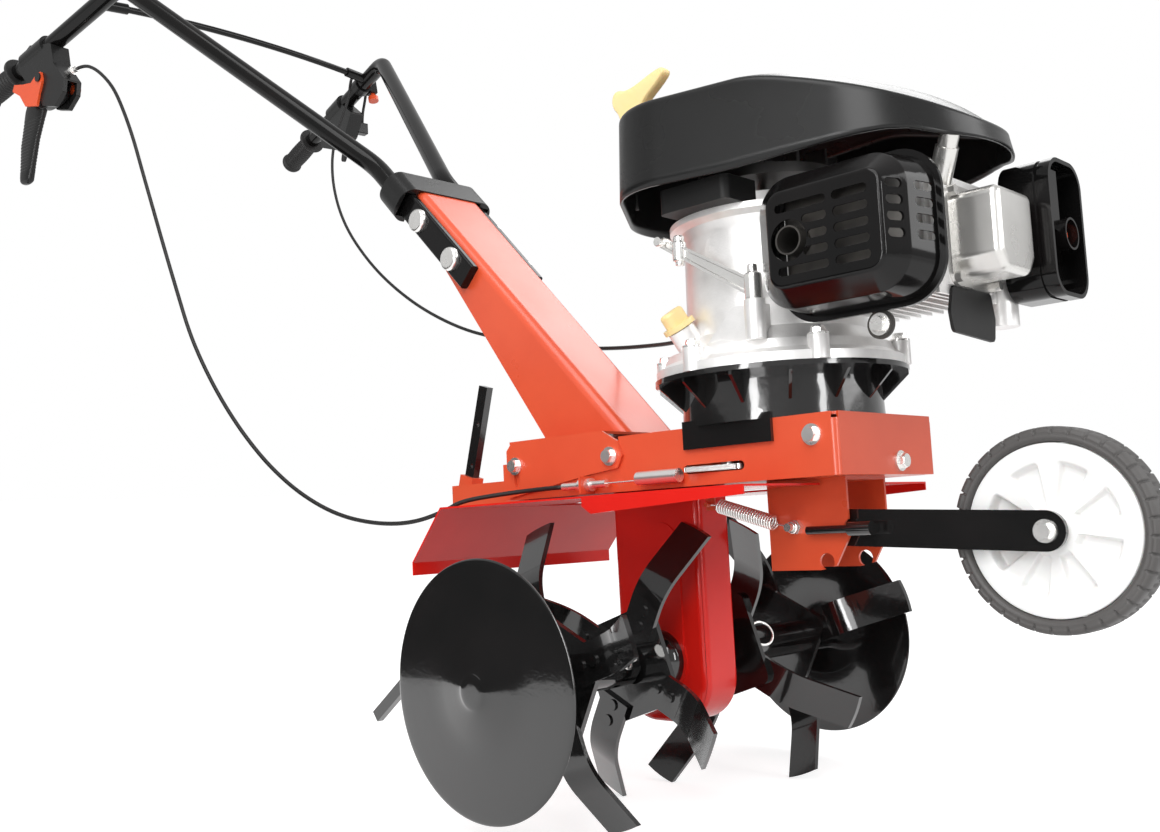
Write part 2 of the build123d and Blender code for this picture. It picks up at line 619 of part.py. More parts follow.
def input_shaft():
    """Upright shaft: driven pulley above, worm below beside the tine shaft."""
    half = worm_lead() * WORM_TURNS / 2
    shaft = rod_z(INPUT_RADIUS, -half - 10, BELT_Z + 12, 0, 0)
    core = rod_z(WORM_PITCH_RADIUS - THREAD_DEPTH / 2, -half - 4, half + 4, 0, 0)
    helix = Pos(0, 0, -half) * Helix(pitch=worm_lead(), height=2 * half, radius=WORM_PITCH_RADIUS)
    inner = -THREAD_DEPTH / 2 - 0.6
    start = helix @ 0
    tooth = Plane(origin=start, x_dir=(1, 0, 0), z_dir=helix % 0) \
        * make_face(Polyline((inner, -THREAD_WIDTH / 2 - 0.7), (inner, THREAD_WIDTH / 2 + 0.7),
                             (THREAD_DEPTH / 2, THREAD_WIDTH / 2 - 0.8),
                             (THREAD_DEPTH / 2, -THREAD_WIDTH / 2 + 0.8),
                             close=True))
    thread = sweep(tooth, path=helix, is_frenet=True)
    wheel = pulley(DRIVEN_RADIUS, INPUT_RADIUS - 1, BELT_Z)
    holes = [Rot(0, 0, 60 * k) * Pos(DRIVEN_RADIUS * 0.55, 0, BELT_Z) * Cylinder(9, 40) for k in range(6)]
    return Pos(INPUT_X, 0, 0) * (shaft + core + thread + (wheel - holes))


def crankshaft():
    """Engine crankshaft with the belt pulley below and the finned flywheel under the recoil cover."""
    stub = rod_z(CRANK_RADIUS, BELT_Z - 14, FLYWHEEL_Z + 30, 0, 0)
    wheel = turned([(4, FLYWHEEL_Z), (FLYWHEEL_RADIUS, FLYWHEEL_Z), (FLYWHEEL_RADIUS, FLYWHEEL_Z + 10),
                    (4, FLYWHEEL_Z + 10)])
    fin = block(FLYWHEEL_RADIUS - 26, FLYWHEEL_RADIUS - 2, -1.5, 1.5, FLYWHEEL_Z + 9, FLYWHEEL_Z + 28)
    fins = [Rot(0, 0, 30 * k) * fin for k in range(12)]
    return Pos(ENGINE_X, 0, 0) * (stub + pulley(ENGINE_PULLEY, CRANK_RADIUS - 1, BELT_Z) + wheel + fins)


def drive_belt():
    """Slack V-belt round both pulleys, running free of their grooves."""
    clear = 1.2
    big = DRIVEN_RADIUS + clear
    small = ENGINE_PULLEY + clear
    loop = make_hull(((Pos(INPUT_X, 0) * Circle(big)).edges() + (Pos(ENGINE_X, 0) * Circle(small)).edges()))
    hole = make_hull(((Pos(INPUT_X, 0) * Circle(big - 4)).edges()
                      + (Pos(ENGINE_X, 0) * Circle(small - 4)).edges()))
    return plate_xy(loop - hole, BELT_Z - 2, BELT_Z + 2)


def idler_arm():
    """Belt tightener: arm with the idler pulley, and a clutch bar reaching out through the rail's slot."""
    z = BELT_Z + 12
    bar = make_hull((Pos(*IDLER_PIVOT) * Circle(9)).edges() + (Pos(*IDLER_AT) * Circle(8)).edges())
    arm = plate_xy(bar, z, z + 4)
    post = rod_z(9, LEVER_SLOT[1] - 3, z + 2, *IDLER_PIVOT)
    pin = rod_z(4, BELT_Z - 7, z + 4, *IDLER_AT)
    wheel = rod_z(IDLER_RADIUS, BELT_Z - 7, BELT_Z + 7, *IDLER_AT)
    root = make_hull((Pos(*IDLER_PIVOT) * Circle(9)).edges() + (Pos(*BAR_KNEE) * Circle(4)).edges())
    reach = make_hull((Pos(*BAR_KNEE) * Circle(3)).edges() + (Pos(*BAR_END) * Circle(3)).edges())
    low = plate_xy(root, LEVER_SLOT[1] - 3, LEVER_SLOT[1]
                   + 2) + plate_xy(reach, LEVER_SLOT[1] - 3, LEVER_SLOT[1] + 2)
    return arm + post + pin + wheel + low - rod_z(IDLER_STUD + RUN, FRAME_BOTTOM, FRAME_TOP, *IDLER_PIVOT)


def tine_shaft():
    """Axle through the gear case with the worm wheel at its middle."""
    shaft = rod_y(SHAFT_RADIUS, -SHAFT_HALF, SHAFT_HALF, 0, 0)
    rim = GEAR_PITCH_RADIUS - THREAD_DEPTH / 2 - 0.5
    wheel = rod_y(rim, -WORM_FACE, WORM_FACE, 0, 0)
    tooth = plate_xz(outline([(rim - 2, -2.2), (GEAR_PITCH_RADIUS + 1.7, -0.8),
                              (GEAR_PITCH_RADIUS + 1.7, 0.8),
                              (rim - 2, 2.2)]), -WORM_FACE, WORM_FACE)
    step = 360 / WHEEL_TEETH
    teeth = [Rot(0, step * (k + 0.5), 0) * tooth for k in range(WHEEL_TEETH)]
    return shaft + wheel + teeth - pin_holes()


def pin_holes(radius=PIN_RADIUS + FIT):
    """Cross holes for the hitch pins, square to the axle."""
    return [Pos(0, side * PIN_Y, 0) * Rot(0, PIN_TURN, 0) * Cylinder(radius, 4 * OUTER_TUBE)
            for side in (-1, 1)]


def blade(way):
    """One tine on the X axis: flat at its rivets, then bent sideways, way +1 or -1 along Y, to its tip."""
    bend = radians(BLADE_BEND)
    run = (TINE_RADIUS - BLADE_BEND_AT) / cos(bend) + 20
    tip = (BLADE_BEND_AT + run * cos(bend), way * run * sin(bend))
    path = FilletPolyline((BLADE_ROOT, 0), (BLADE_BEND_AT, 0), tip, radius=BLADE_BEND_RADIUS)
    section = Plane(origin=(BLADE_ROOT, 0, 0), x_dir=(0, 1, 0),
                    z_dir=(1, 0, 0)) * Rectangle(BLADE_THICK, BLADE_WIDTH)
    strip = sweep(section, path=path)
    return strip & rod_y(TINE_RADIUS, -120, 120, 0, 0)


def tine_set(side, plate_y, tube_radius, bore, tube_from, tube_to, phase, first):
    """Hub tube, square plate and four riveted blades of one set, the first one bent in (-1) or out (1)."""
    y_plate = side * plate_y
    plate = plate_xz(fillet(Rectangle(2 * PLATE_HALF, 2 * PLATE_HALF).vertices(), 10), -PLATE_THICK / 2,
                     PLATE_THICK / 2)
    plate = Pos(0, y_plate, 0) * Rot(0, 45, 0) * plate
    y0, y1 = sorted((side * tube_from, side * tube_to))
    tube = rod_y(tube_radius, y0, y1, 0, 0)
    solid = plate + tube
    face_y = y_plate + side * (PLATE_THICK + BLADE_THICK) / 2
    for k in range(4):
        way = -first if k % 2 else first
        one = blade(side * way) + [Pos(r, side * (BLADE_THICK / 2 + 1), 0) * Rot(90, 0, 0)
                                   * Cylinder(6, 2.4)
                                   for r in RIVETS]
        solid = solid + Pos(0, face_y, 0) * Rot(0, -90 * k, 0) * one
    solid = solid - rod_y(bore, y0 - 1, y1 + 1, 0, 0)
    return Rot(0, -phase, 0) * solid - pin_holes()


def disc(side):
    """Dished plant disc at the outer end of the tines."""
    y = DISC_Y
    t = DISC_THICK
    points = [(0, y + 9), (15, y + 9), (18, y + 6.5), (56, y), (DISC_RADIUS, y - 2),
              (DISC_RADIUS, y - 2 - t),
              (56, y - t), (OUTER_TUBE + 2, DISC_SEAT), (0, DISC_SEAT)]
    dish = Rot(-90, 0, 0) * revolve(Plane.XZ * outline(points), Axis.Z)
    return dish if side > 0 else mirror(dish, about=Plane.XZ)


def hitch_pins():
    """Pin with its ring clip, one on each side."""
    pins = []
    reach = OUTER_TUBE + 7
    for side in (-1, 1):
        pin = Cylinder(PIN_RADIUS, 2 * reach) + Pos(0, 0, reach) * Cylinder(7, 4)
        ring = Pos(0, side * 15, reach + 4) * Rot(side * 20, 0, 0) * Torus(14, 1.3)
        pins.append(Pos(0, side * PIN_Y, 0) * Rot(0, PIN_TURN, 0) * (pin + ring))
    return pins


# Wheel and its arm

def arm_line(at):
    """Point on the middle line of the wheel arm, at a distance from its pivot."""
    dx, dz = WHEEL_AT[0] - ARM_PIVOT[0], WHEEL_AT[1] - ARM_PIVOT[1]
    length = hypot(dx, dz)
    return ARM_PIVOT[0] + at * dx / length, ARM_PIVOT[1] + at * dz / length


def wheel_arm():
    """Flat bar from the bracket's pivot to the wheel, with the spring rod's boss on it."""
    half = ARM_HEIGHT / 2
    bar = make_hull((Pos(*ARM_PIVOT) * Circle(half)).edges() + (Pos(*WHEEL_AT) * Circle(half)).edges())
    bar = bar - Pos(*ARM_PIVOT) * Circle(BOLT_RADIUS + FIT) - Pos(*WHEEL_AT) * Circle(AXLE_RADIUS + FIT)
    arm = plate_xz(bar, ARM_FACE, ARM_FACE + ARM_THICK)
    boss_x, boss_z = arm_line(72)
    boss = rod_x(6.5, boss_x - 10, boss_x + 14, SPRING_Y + 2, boss_z)
    web = block(boss_x - 8, boss_x + 12, SPRING_Y + 2, ARM_FACE + 1, boss_z - 4, boss_z + 4)
    rod = rod_x(4, ARM_PIVOT[0] + 16, boss_x, SPRING_Y + 2, boss_z)
    return arm + boss + web + rod


def wheel_axle():
    """Axle bolt of the wheel with its head on the arm."""
    head = Pos(WHEEL_AT[0], ARM_FACE, WHEEL_AT[1]) * Rot(90, 0, 0) * hex_bolt()
    shaft = rod_y(AXLE_RADIUS, ARM_FACE, WHEEL_NEAR + WHEEL_WIDTH + 6, *WHEEL_AT)
    nut = Pos(WHEEL_AT[0], WHEEL_NEAR + WHEEL_WIDTH + 3, WHEEL_AT[1]) * Rot(90, 0, 0) \
        * extrude(RegularPolygon(10, 6), amount=6, both=True)
    collar = rod_y(11, ARM_FACE + ARM_THICK, WHEEL_NEAR - GAP, *WHEEL_AT)
    far = WHEEL_NEAR + WHEEL_WIDTH + GAP
    return head + shaft + collar + (nut & block(0, 900, far, 100, 0, 400))


def wheel_rim():
    """White plastic wheel: hub, tapered spokes, dished web and rim."""
    y0, y1 = WHEEL_NEAR, WHEEL_NEAR + WHEEL_WIDTH
    rim = rod_y(RIM_RADIUS, y0 + 3, y1 - 3, 0, 0) - rod_y(RIM_RADIUS - 6, y0, y1, 0, 0)
    hub = rod_y(17, y0, y1, 0, 0)
    web = rod_y(RIM_RADIUS - 3, y0 + 14, y0 + 18, 0, 0)
    spoke = plate_xz(outline([(10, -9), (RIM_RADIUS - 4, -5), (RIM_RADIUS - 4, 5), (10, 9)]), y0 + 6,
                     y1 - 6)
    spokes = [Rot(0, 360 / SPOKES * k, 0) * spoke for k in range(SPOKES)]
    solid = rim + hub + web + spokes - rod_y(AXLE_RADIUS + RUN, y0 - 1, y1 + 1, 0, 0)
    return Pos(WHEEL_AT[0], 0, WHEEL_AT[1]) * solid


def tyre():
    """Solid tyre with lugs round its shoulders."""
    y0, y1 = WHEEL_NEAR, WHEEL_NEAR + WHEEL_WIDTH
    middle = (y0 + y1) / 2
    half = WHEEL_WIDTH / 2
    section = Pos(RIM_RADIUS, middle) * make_face(
        Polyline((0, -half + 3), (0, half - 3), (5, half), (TYRE_RADIUS - RIM_RADIUS - 4, half))
        + ThreePointArc((TYRE_RADIUS - RIM_RADIUS - 4, half), (TYRE_RADIUS - RIM_RADIUS, 0),
                        (TYRE_RADIUS - RIM_RADIUS - 4, -half))
        + Polyline((TYRE_RADIUS - RIM_RADIUS - 4, -half), (5, -half), (0, -half + 3)))
    ring = revolve(section, Axis.Y)
    return Pos(WHEEL_AT[0], 0, WHEEL_AT[1]) * ring


# Column and handlebars

def column_axes():
    """Unit vectors along the column's front face and square to it, backwards and down."""
    dx = COLUMN_HEAD_X - COLUMN_FOOT_X
    dz = COLUMN_HEAD_Z - SADDLE_TOP
    length = hypot(dx, dz)
    return (dx / length, dz / length), (-dz / length, dx / length), length


def column_solid(inset=0.0):
    """The tapered column as a full solid, its front and sides set in by inset and its back left open."""
    along, back, length = column_axes()
    open_by = 30 if inset else 0
    def at(t, depth):
        return (COLUMN_FOOT_X + along[0] * t + back[0] * depth, SADDLE_TOP + along[1] * t + back[1] * depth)
    head = length + (9 if inset else 0)
    waist = (COLUMN_WAIST[0] + back[0] * open_by, COLUMN_WAIST[1] + back[1] * open_by)
    foot = (COLUMN_FOOT_X - COLUMN_FOOT_DEPTH - open_by, SADDLE_TOP - (open_by and SHEET))
    side = plate_xz(outline([at(-inset, inset), at(head, inset), at(head, COLUMN_HEAD_DEPTH + open_by),
                             waist, foot]),
                    -90, 90)
    low, high = COLUMN_FOOT_HALF - inset, COLUMN_HEAD_HALF - inset
    grow = (high - low) / length
    front = make_face(Polyline((-60, -low + 60 * grow), (length + 20, -high - 20 * grow),
                               (length + 20, high + 20 * grow),
                               (-60, low - 60 * grow), close=True))
    plane = Plane(origin=(COLUMN_FOOT_X, 0, SADDLE_TOP), x_dir=(along[0], 0, along[1]),
                  z_dir=(back[0], 0, back[1]))
    return side & extrude(plane * front, amount=220, both=True)


def tilt_slot():
    """Curved slot for the rear bolt, an arc about the column's pivot."""
    reach = PIVOT_X - SLOT_BOLT_X
    half = BOLT_RADIUS + GAP
    limits = (-TILT_DOWN, TILT_UP)
    ends = [Pos(PIVOT_X - reach * cos(radians(a)), PIVOT_Z - reach * sin(radians(a))) * Circle(half)
            for a in limits]
    ring = Pos(PIVOT_X, PIVOT_Z) * (Circle(reach + half) - Circle(reach - half))
    far = [(PIVOT_X - 2 * reach * cos(radians(a)), PIVOT_Z - 2 * reach * sin(radians(a))) for a in limits]
    wedge = make_face(Polyline((PIVOT_X, PIVOT_Z), *far, close=True))
    return (ring & wedge) + ends


def column():
    """Tapered sheet channel welded on a saddle that straddles the frame's rails."""
    along, back, length = column_axes()
    def rounded(solid, inset):
        def depth(e):
            at = e.center()
            return (at.X - COLUMN_FOOT_X) * back[0] + (at.Z - SADDLE_TOP) * back[1]
        edges = [e for e in solid.edges() if e.length > 0.9 * length and abs(depth(e) - inset) < 0.5]
        return fillet(edges, COLUMN_EDGE - inset)
    shell = rounded(column_solid(), 0.0) - rounded(column_solid(SHEET), SHEET)
    inner = FRAME_HALF + GAP
    top = block(SADDLE_REAR + 6, COLUMN_FOOT_X + 6, -inner - SHEET, inner + SHEET, SADDLE_TOP - SHEET,
                SADDLE_TOP)
    cheek = outline([(SADDLE_REAR, FRAME_BOTTOM + 2), (SADDLE_REAR, SADDLE_TOP - 10),
                     (SADDLE_REAR + 10, SADDLE_TOP),
                     (COLUMN_FOOT_X + 6, SADDLE_TOP), (PIVOT_X + 10, SADDLE_TOP - 12),
                     (PIVOT_X + 17, PIVOT_Z),
                     (PIVOT_X + 10, PIVOT_Z - 13), (PIVOT_X - 30, PIVOT_Z - 17)], 3)
    cheek = cheek - Pos(PIVOT_X, PIVOT_Z) * Circle(BOLT_RADIUS + FIT) - tilt_slot()
    near = plate_xz(cheek, -inner - SHEET, -inner)
    solid = shell + top + both_sides(near)
    holes = [handle_side(s) * Pos(t, 0, -10) * Cylinder(BOLT_RADIUS + FIT, 60) for t in HANDLE_BOLTS_AT
             for s in (-1, 1)]
    return solid - holes


def handle_side(side):
    """Plane on the column's side wall behind the handlebar: X up the column, Z outwards from the wall."""
    along, back, length = column_axes()
    slope = (COLUMN_HEAD_HALF - COLUMN_FOOT_HALF) / length
    origin = (COLUMN_FOOT_X + back[0] * HANDLE_DEPTH, side * COLUMN_FOOT_HALF,
              SADDLE_TOP + back[1] * HANDLE_DEPTH)
    up = Vector(along[0], side * slope, along[1]).normalized()
    out = Vector(-along[0] * slope, side, -along[1] * slope).normalized()
    return Plane(origin=origin, x_dir=up, z_dir=out)


def on_side(side, t, out):
    """Point beside the column's wall, t up the column and out from the wall."""
    return handle_side(side).from_local_coords(Vector(t, 0, out))


def handlebar(side):
    """Bent tube, pressed flat where it is bolted to the column."""
    foot = on_side(side, HANDLE_FLAT_END, FLAT_HALF)
    knee = on_side(side, HANDLE_KNEE_AT, FLAT_HALF)
    apex = Vector(HANDLE_APEX[0], side * HANDLE_APEX[1], HANDLE_APEX[2])
    end = Vector(HANDLE_END[0], side * HANDLE_END[1], HANDLE_END[2])
    path = FilletPolyline(foot, knee, apex, end, radius=[KNEE_RADIUS, APEX_RADIUS])
    section = Plane(origin=path @ 0, z_dir=path % 0)
    tube = sweep(section * (Circle(TUBE_RADIUS) - Circle(TUBE_RADIUS - TUBE_WALL)), path=path)
    plane = handle_side(side)
    flat_at = (HANDLE_FOOT_AT + HANDLE_FLAT_END - HANDLE_NECK) / 2
    length = HANDLE_FLAT_END - HANDLE_NECK - HANDLE_FOOT_AT
    flat = plane * Pos(flat_at, 0, FLAT_HALF) * Box(length, 2 * FLAT_WIDE, 2 * FLAT_HALF)
    flat = fillet(flat.edges().filter_by(lambda e: abs(e.length - length) < 0.01), 4)
    low = Plane(origin=on_side(side, HANDLE_FLAT_END - HANDLE_NECK, FLAT_HALF), x_dir=plane.y_dir,
                z_dir=plane.x_dir)
    high = Plane(origin=on_side(side, HANDLE_FLAT_END, FLAT_HALF), x_dir=plane.y_dir, z_dir=plane.x_dir)
    neck = loft([low * RectangleRounded(2 * FLAT_WIDE, 2 * FLAT_HALF, 4), high * Circle(TUBE_RADIUS)])
    solid = flat + neck + tube
    return solid - [plane * Pos(t, 0, FLAT_HALF) * Cylinder(BOLT_RADIUS + FIT, 4 * FLAT_HALF)
                    for t in HANDLE_BOLTS_AT]


def handle_bolts():
    """Round-headed bolts through handlebars and column, with nuts inside, and the cable's adjuster."""
    bolts = []
    for side in (-1, 1):
        for t in HANDLE_BOLTS_AT:
            head = Pos(t, 0, 2 * FLAT_HALF) * round_head()
            shank = Pos(t, 0, FLAT_HALF - 5) * Cylinder(BOLT_RADIUS, 2 * FLAT_HALF + 10)
            nut = Pos(t, 0, -SHEET - 7) * extrude(RegularPolygon(BOLT_HEAD, 6), amount=7)
            bolts.append(handle_side(side) * (head + shank + nut))
    bolts.append(adjuster_at() * (Pos(0, 0, 9) * Cylinder(5, 18) + Pos(0, 0, 20) * Cylinder(7, 5)
                                  + Pos(0, 0, 27) * Cylinder(4.5, 10)))
    return bolts


def adjuster_at():
    """Where the clutch cable's adjuster screws into the bracket, its Z forward."""
    return control_plane(-1) * Pos(*CLUTCH_CABLE_AT, 0) * Rot(0, 90, 0)


def round_head():
    """Low domed bolt head with its rim, seated at z = 0."""
    head = Pos(0, 0, 3.5) * Cylinder(DOME_RADIUS, 7)
    return fillet(head.edges().group_by(Axis.Z)[-1], 4.5)


def column_cap():
    """Moulded strap over the column's head and both handlebars."""
    along, back, length = column_axes()
    head = Vector(COLUMN_HEAD_X - along[0] * CAP_LAP, 0, COLUMN_HEAD_Z - along[1] * CAP_LAP)
    plane = Plane(origin=head, x_dir=(0, 1, 0), z_dir=(along[0], 0, along[1]))
    half = COLUMN_HEAD_HALF + FLAT_HALF + TUBE_RADIUS + CAP_WALL
    outer = Pos(0, HANDLE_DEPTH) * RectangleRounded(2 * half, CAP_HEIGHT, CAP_HEIGHT * 0.4)
    cap = extrude(plane * outer, amount=CAP_LENGTH)
    fit = COLUMN_HEAD_HALF + 1.2
    well = plane * Pos(0, HANDLE_DEPTH, CAP_LAP / 2) * Box(2 * fit, 2 * CAP_HEIGHT, CAP_LAP + 2)
    well = well - plane * Pos(0, -30 - FIT, 0) * Box(400, 60, 400)
    holes = [handle_side(s) * Pos(length, 0, FLAT_HALF)
             * Box(6 * CAP_LENGTH, 2 * FLAT_WIDE + 1, 2 * TUBE_RADIUS + 1)
             for s in (-1, 1)]
    return cap - well - holes


def cross_brace():
    """Bowed rod between the two handlebars with a pressed sleeve at each end."""
    right, way = tube_point(BRACE_AT, -1)
    left, way = tube_point(BRACE_AT, 1)
    bow = ThreePointArc(right, (right + left) * 0.5 + Vector(0, 0, BRACE_BOW), left)
    rod = sweep(Plane(origin=bow @ 0, z_dir=bow % 0) * Circle(5), path=bow)
    sleeves = []
    for at, turn in ((0.0, 1), (1.0, -1)):
        sleeves.append(Plane(origin=bow @ at, z_dir=(bow % at) * turn) * Pos(0, 0, 22) * Cylinder(8, 44))
    tubes = [Plane(origin=at, z_dir=tube_point(0, s)[1]) * Cylinder(TUBE_RADIUS, 200)
             for at, s in ((right, -1), (left, 1))]
    beyond = [block(-1200, -600, y, y + 60, 800, 1100) for y in (right.Y - 60, left.Y)]
    return rod + sleeves - tubes - beyond


def grip(side):
    """Rubber grip with a flange at its front and a bead at its end."""
    end = Vector(HANDLE_END[0], side * HANDLE_END[1], HANDLE_END[2])
    point, way = tube_point(0, side)
    r, wall, length = GRIP_RADIUS, TUBE_RADIUS + FIT, GRIP_LENGTH + 5
    face = make_face(Polyline((wall, 0), (GRIP_FLANGE, 0), (GRIP_FLANGE, 4), (r + 2, 7), (r, 12),
                              (r, length - 8),
                              (r + 2.5, length - 5), (r + 2.5, length - 1), (r, length), (0, length),
                              (0, length - 4.9), (wall, length - 4.9), close=True))
    plane = Plane(origin=end - way * GRIP_LENGTH, z_dir=way)
    return plane * revolve(Plane.XZ * face, Axis.Z)


# Engine

def adapter():
    """Ribbed moulding between the frame and the engine, with tabs over the frame's sides."""
    inner = ADAPTER_RADIUS - 5
    wall = turned([(inner, FRAME_TOP), (ADAPTER_RADIUS + 2, FRAME_TOP), (ADAPTER_RADIUS, ADAPTER_TOP - 6),
                   (FLANGE_RADIUS, ADAPTER_TOP - 5), (FLANGE_RADIUS, ADAPTER_TOP), (inner, ADAPTER_TOP)])
    rib = plate_xz(outline([(ADAPTER_RADIUS - 2, FRAME_TOP + 14), (FLANGE_RADIUS - 1, ADAPTER_TOP - 9),
                            (FLANGE_RADIUS - 1, ADAPTER_TOP - 4), (ADAPTER_RADIUS - 2, ADAPTER_TOP - 4)]),
                   -RIB_HALF, RIB_HALF)
    ribs = [Rot(0, 0, 360 / ADAPTER_RIBS * k) * rib for k in range(ADAPTER_RIBS)]
    solid = Pos(ENGINE_X, 0, 0) * (wall + ribs)
    reach = FRAME_HALF + GAP
    shelf = block(TAB_X[0], TAB_X[1], -reach - 4, -ADAPTER_RADIUS * 0.6, FRAME_TOP, FRAME_TOP + 6)
    shelf = shelf - rod_z(inner, FRAME_TOP - 1, FRAME_TOP + 10, ENGINE_X, 0)
    tab = block(TAB_X[0], TAB_X[1], -reach - 4, -reach, FRAME_TOP - TAB_DROP, FRAME_TOP + 6)
    return solid + both_sides(shelf + tab)


def lug_angles():
    return [22.0 + 360 / 6 * k for k in range(6)]


def filler_boss(grow=0.0):
    """Slanted boss of the oil filler, standing on the sump."""
    boss = filler_plane() * Pos(0, 0, -23) * Cylinder(FILLER_RADIUS + grow, 46)
    return boss & block(0, 400, -200, 200, ADAPTER_TOP + 4, 600)


def sump():
    """Cast sump with its mounting lugs and the oil filler's boss."""
    bowl = turned([(CRANK_RADIUS + 3, ADAPTER_TOP), (FLANGE_RADIUS - 2, ADAPTER_TOP),
                   (FLANGE_RADIUS - 2, ADAPTER_TOP + 9),
                   (FLANGE_RADIUS - 10, ADAPTER_TOP + 14), (CASE_RADIUS + 22, SUMP_TOP),
                   (CRANK_RADIUS + 3, SUMP_TOP)])
    lugs = [Rot(0, 0, a) * Pos(FLANGE_RADIUS - 7, 0, (ADAPTER_TOP + SUMP_TOP) / 2)
            * Cylinder(10, SUMP_TOP - ADAPTER_TOP)
            for a in lug_angles()]
    solid = Pos(ENGINE_X, 0, 0) * (bowl + lugs)
    bearing = rod_z(CRANK_RADIUS + 4, ADAPTER_TOP, SUMP_TOP, ENGINE_X, 0)
    solid = solid + bearing - rod_z(CRANK_RADIUS + RUN, ADAPTER_TOP - 1, SUMP_TOP + 1, ENGINE_X, 0)
    return solid + filler_boss() - filler_plane() * Pos(0, 0, -8) * Cylinder(FILLER_RADIUS - 4, 20)


def filler_plane():
    """Plane on the oil filler's mouth, leaning outwards."""
    lean = radians(FILLER_LEAN)
    turn = radians(FILLER_TURN)
    out = (cos(turn) * sin(lean), sin(turn) * sin(lean), cos(lean))
    return Plane(origin=FILLER_AT, z_dir=out)


def oil_cap():
    """Yellow filler plug: a round flange and a bulky rounded knob to turn it by."""
    flange = Pos(0, 0, 2.5) * Cylinder(FILLER_RADIUS + 3, 5)
    knob = extrude(Pos(0, 0, 5) * RectangleRounded(2 * FILLER_RADIUS, KNOB_WIDTH, KNOB_WIDTH / 2 - 1),
                   amount=KNOB_HEIGHT)
    knob = fillet(knob.edges().group_by(Axis.Z)[-1], 4)
    stem = Pos(0, 0, -6) * Cylinder(FILLER_RADIUS - 4.5, 13)
    return filler_plane() * Pos(0, 0, 1 + FIT) * (flange + knob + stem)


def crankcase():
    """Cast crankcase with its finned cylinder pointing forward and the governor shaft's boss."""
    low, high = CASE_FLANGE
    body = turned([(CRANK_RADIUS + 6, SUMP_TOP), (CASE_RADIUS + 12, SUMP_TOP),
                   (CASE_RADIUS + 8, SUMP_TOP + 6), (CASE_RADIUS, SUMP_TOP + 16), (CASE_RADIUS - 2, low - 16),
                   (CASE_RADIUS + 3, low - 4), (CASE_RADIUS + 12, low), (CASE_RADIUS + 12, high),
                   (CASE_RADIUS - 8, high), (CASE_RADIUS - 8, CRANKCASE_TOP),
                   (CRANK_RADIUS + 6, CRANKCASE_TOP)])
    collar = rod_z(CRANK_RADIUS + 7, CRANKCASE_TOP - 14, CRANKCASE_TOP, 0, 0)
    body = Pos(ENGINE_X, 0, 0) * (body + collar
                                  - rod_z(CRANK_RADIUS + RUN, CRANKCASE_TOP - 15, CRANKCASE_TOP + 1, 0, 0))
    barrel = rod_x(42, ENGINE_X + 60, HEAD_X, 0, CYLINDER_Z)
    fins = [block(x, x + 3, -56, 56, CYLINDER_Z - 54, CYLINDER_Z + 54) for x in FIN_X]
    top = GOVERNOR_Z - 22
    boss = rod_z(GOVERNOR_SHAFT + 5, SUMP_TOP, top, *GOVERNOR_AT)
    x, y = GOVERNOR_AT
    web = plate_xz(outline([(x - 66, SUMP_TOP), (x, SUMP_TOP), (x, top - 2), (x - 28, top - 2)]),
                   y + 4, -CASE_RADIUS + 20)
    shaft = rod_z(GOVERNOR_SHAFT + RUN, top - 20, top + 10, *GOVERNOR_AT)
    return body + barrel + fins + boss + web - shaft - filler_boss(FIT) - spark_plug(GAP)


def cylinder_head():
    """Finned head with the spark plug's bore."""
    core = block(HEAD_X, HEAD_X + 26, -44, 44, CYLINDER_Z - 46, CYLINDER_Z + 44)
    fins = [block(HEAD_X + 3 + 8 * k, HEAD_X + 6 + 8 * k, -56, 56, CYLINDER_Z - 54, CYLINDER_Z + 56)
            for k in range(3)]
    return core + fins - spark_plug(GAP)


def plug_plane():
    return Plane(origin=PLUG_AT, z_dir=(sin(radians(28)), -sin(radians(18)), cos(radians(28))))


def spark_plug(grow=0.0):
    """Spark plug with its shielded boot, or the room it needs when grown."""
    body = Pos(0, 0, -4) * Cylinder(9 + grow, 40) + Pos(0, 0, 26) * Cylinder(10.5 + grow, 34)
    body = body + Pos(0, 0, 48) * Cylinder(9 + grow, 14)
    return plug_plane() * body


def valve_cover():
    """Pressed rocker cover with a bolted flange, its lower edges cut back and its face rounded off."""
    x0 = HEAD_X + 26
    flange = plate_yz(Pos(0, CYLINDER_Z - 1) * RectangleRounded(88, 92, 14), x0, x0 + 4)
    face = outline([(-36, 38), (36, 38), (36, -22), (24, -38), (-24, -38), (-36, -22)])
    dome = plate_yz(Pos(0, CYLINDER_Z - 1) * fillet(face.vertices(), 9), x0 + 4, x0 + COVER_DEPTH)
    dome = fillet([e for e in dome.edges() if e.center().X > x0 + COVER_DEPTH - 1], 7)
    heads = [Pos(x0 + 4, y, CYLINDER_Z - 1 + z) * Rot(0, 90, 0) * extrude(RegularPolygon(5, 6), amount=6)
             for y in (-38, 38) for z in (-39, 39)]
    return flange + dome + heads


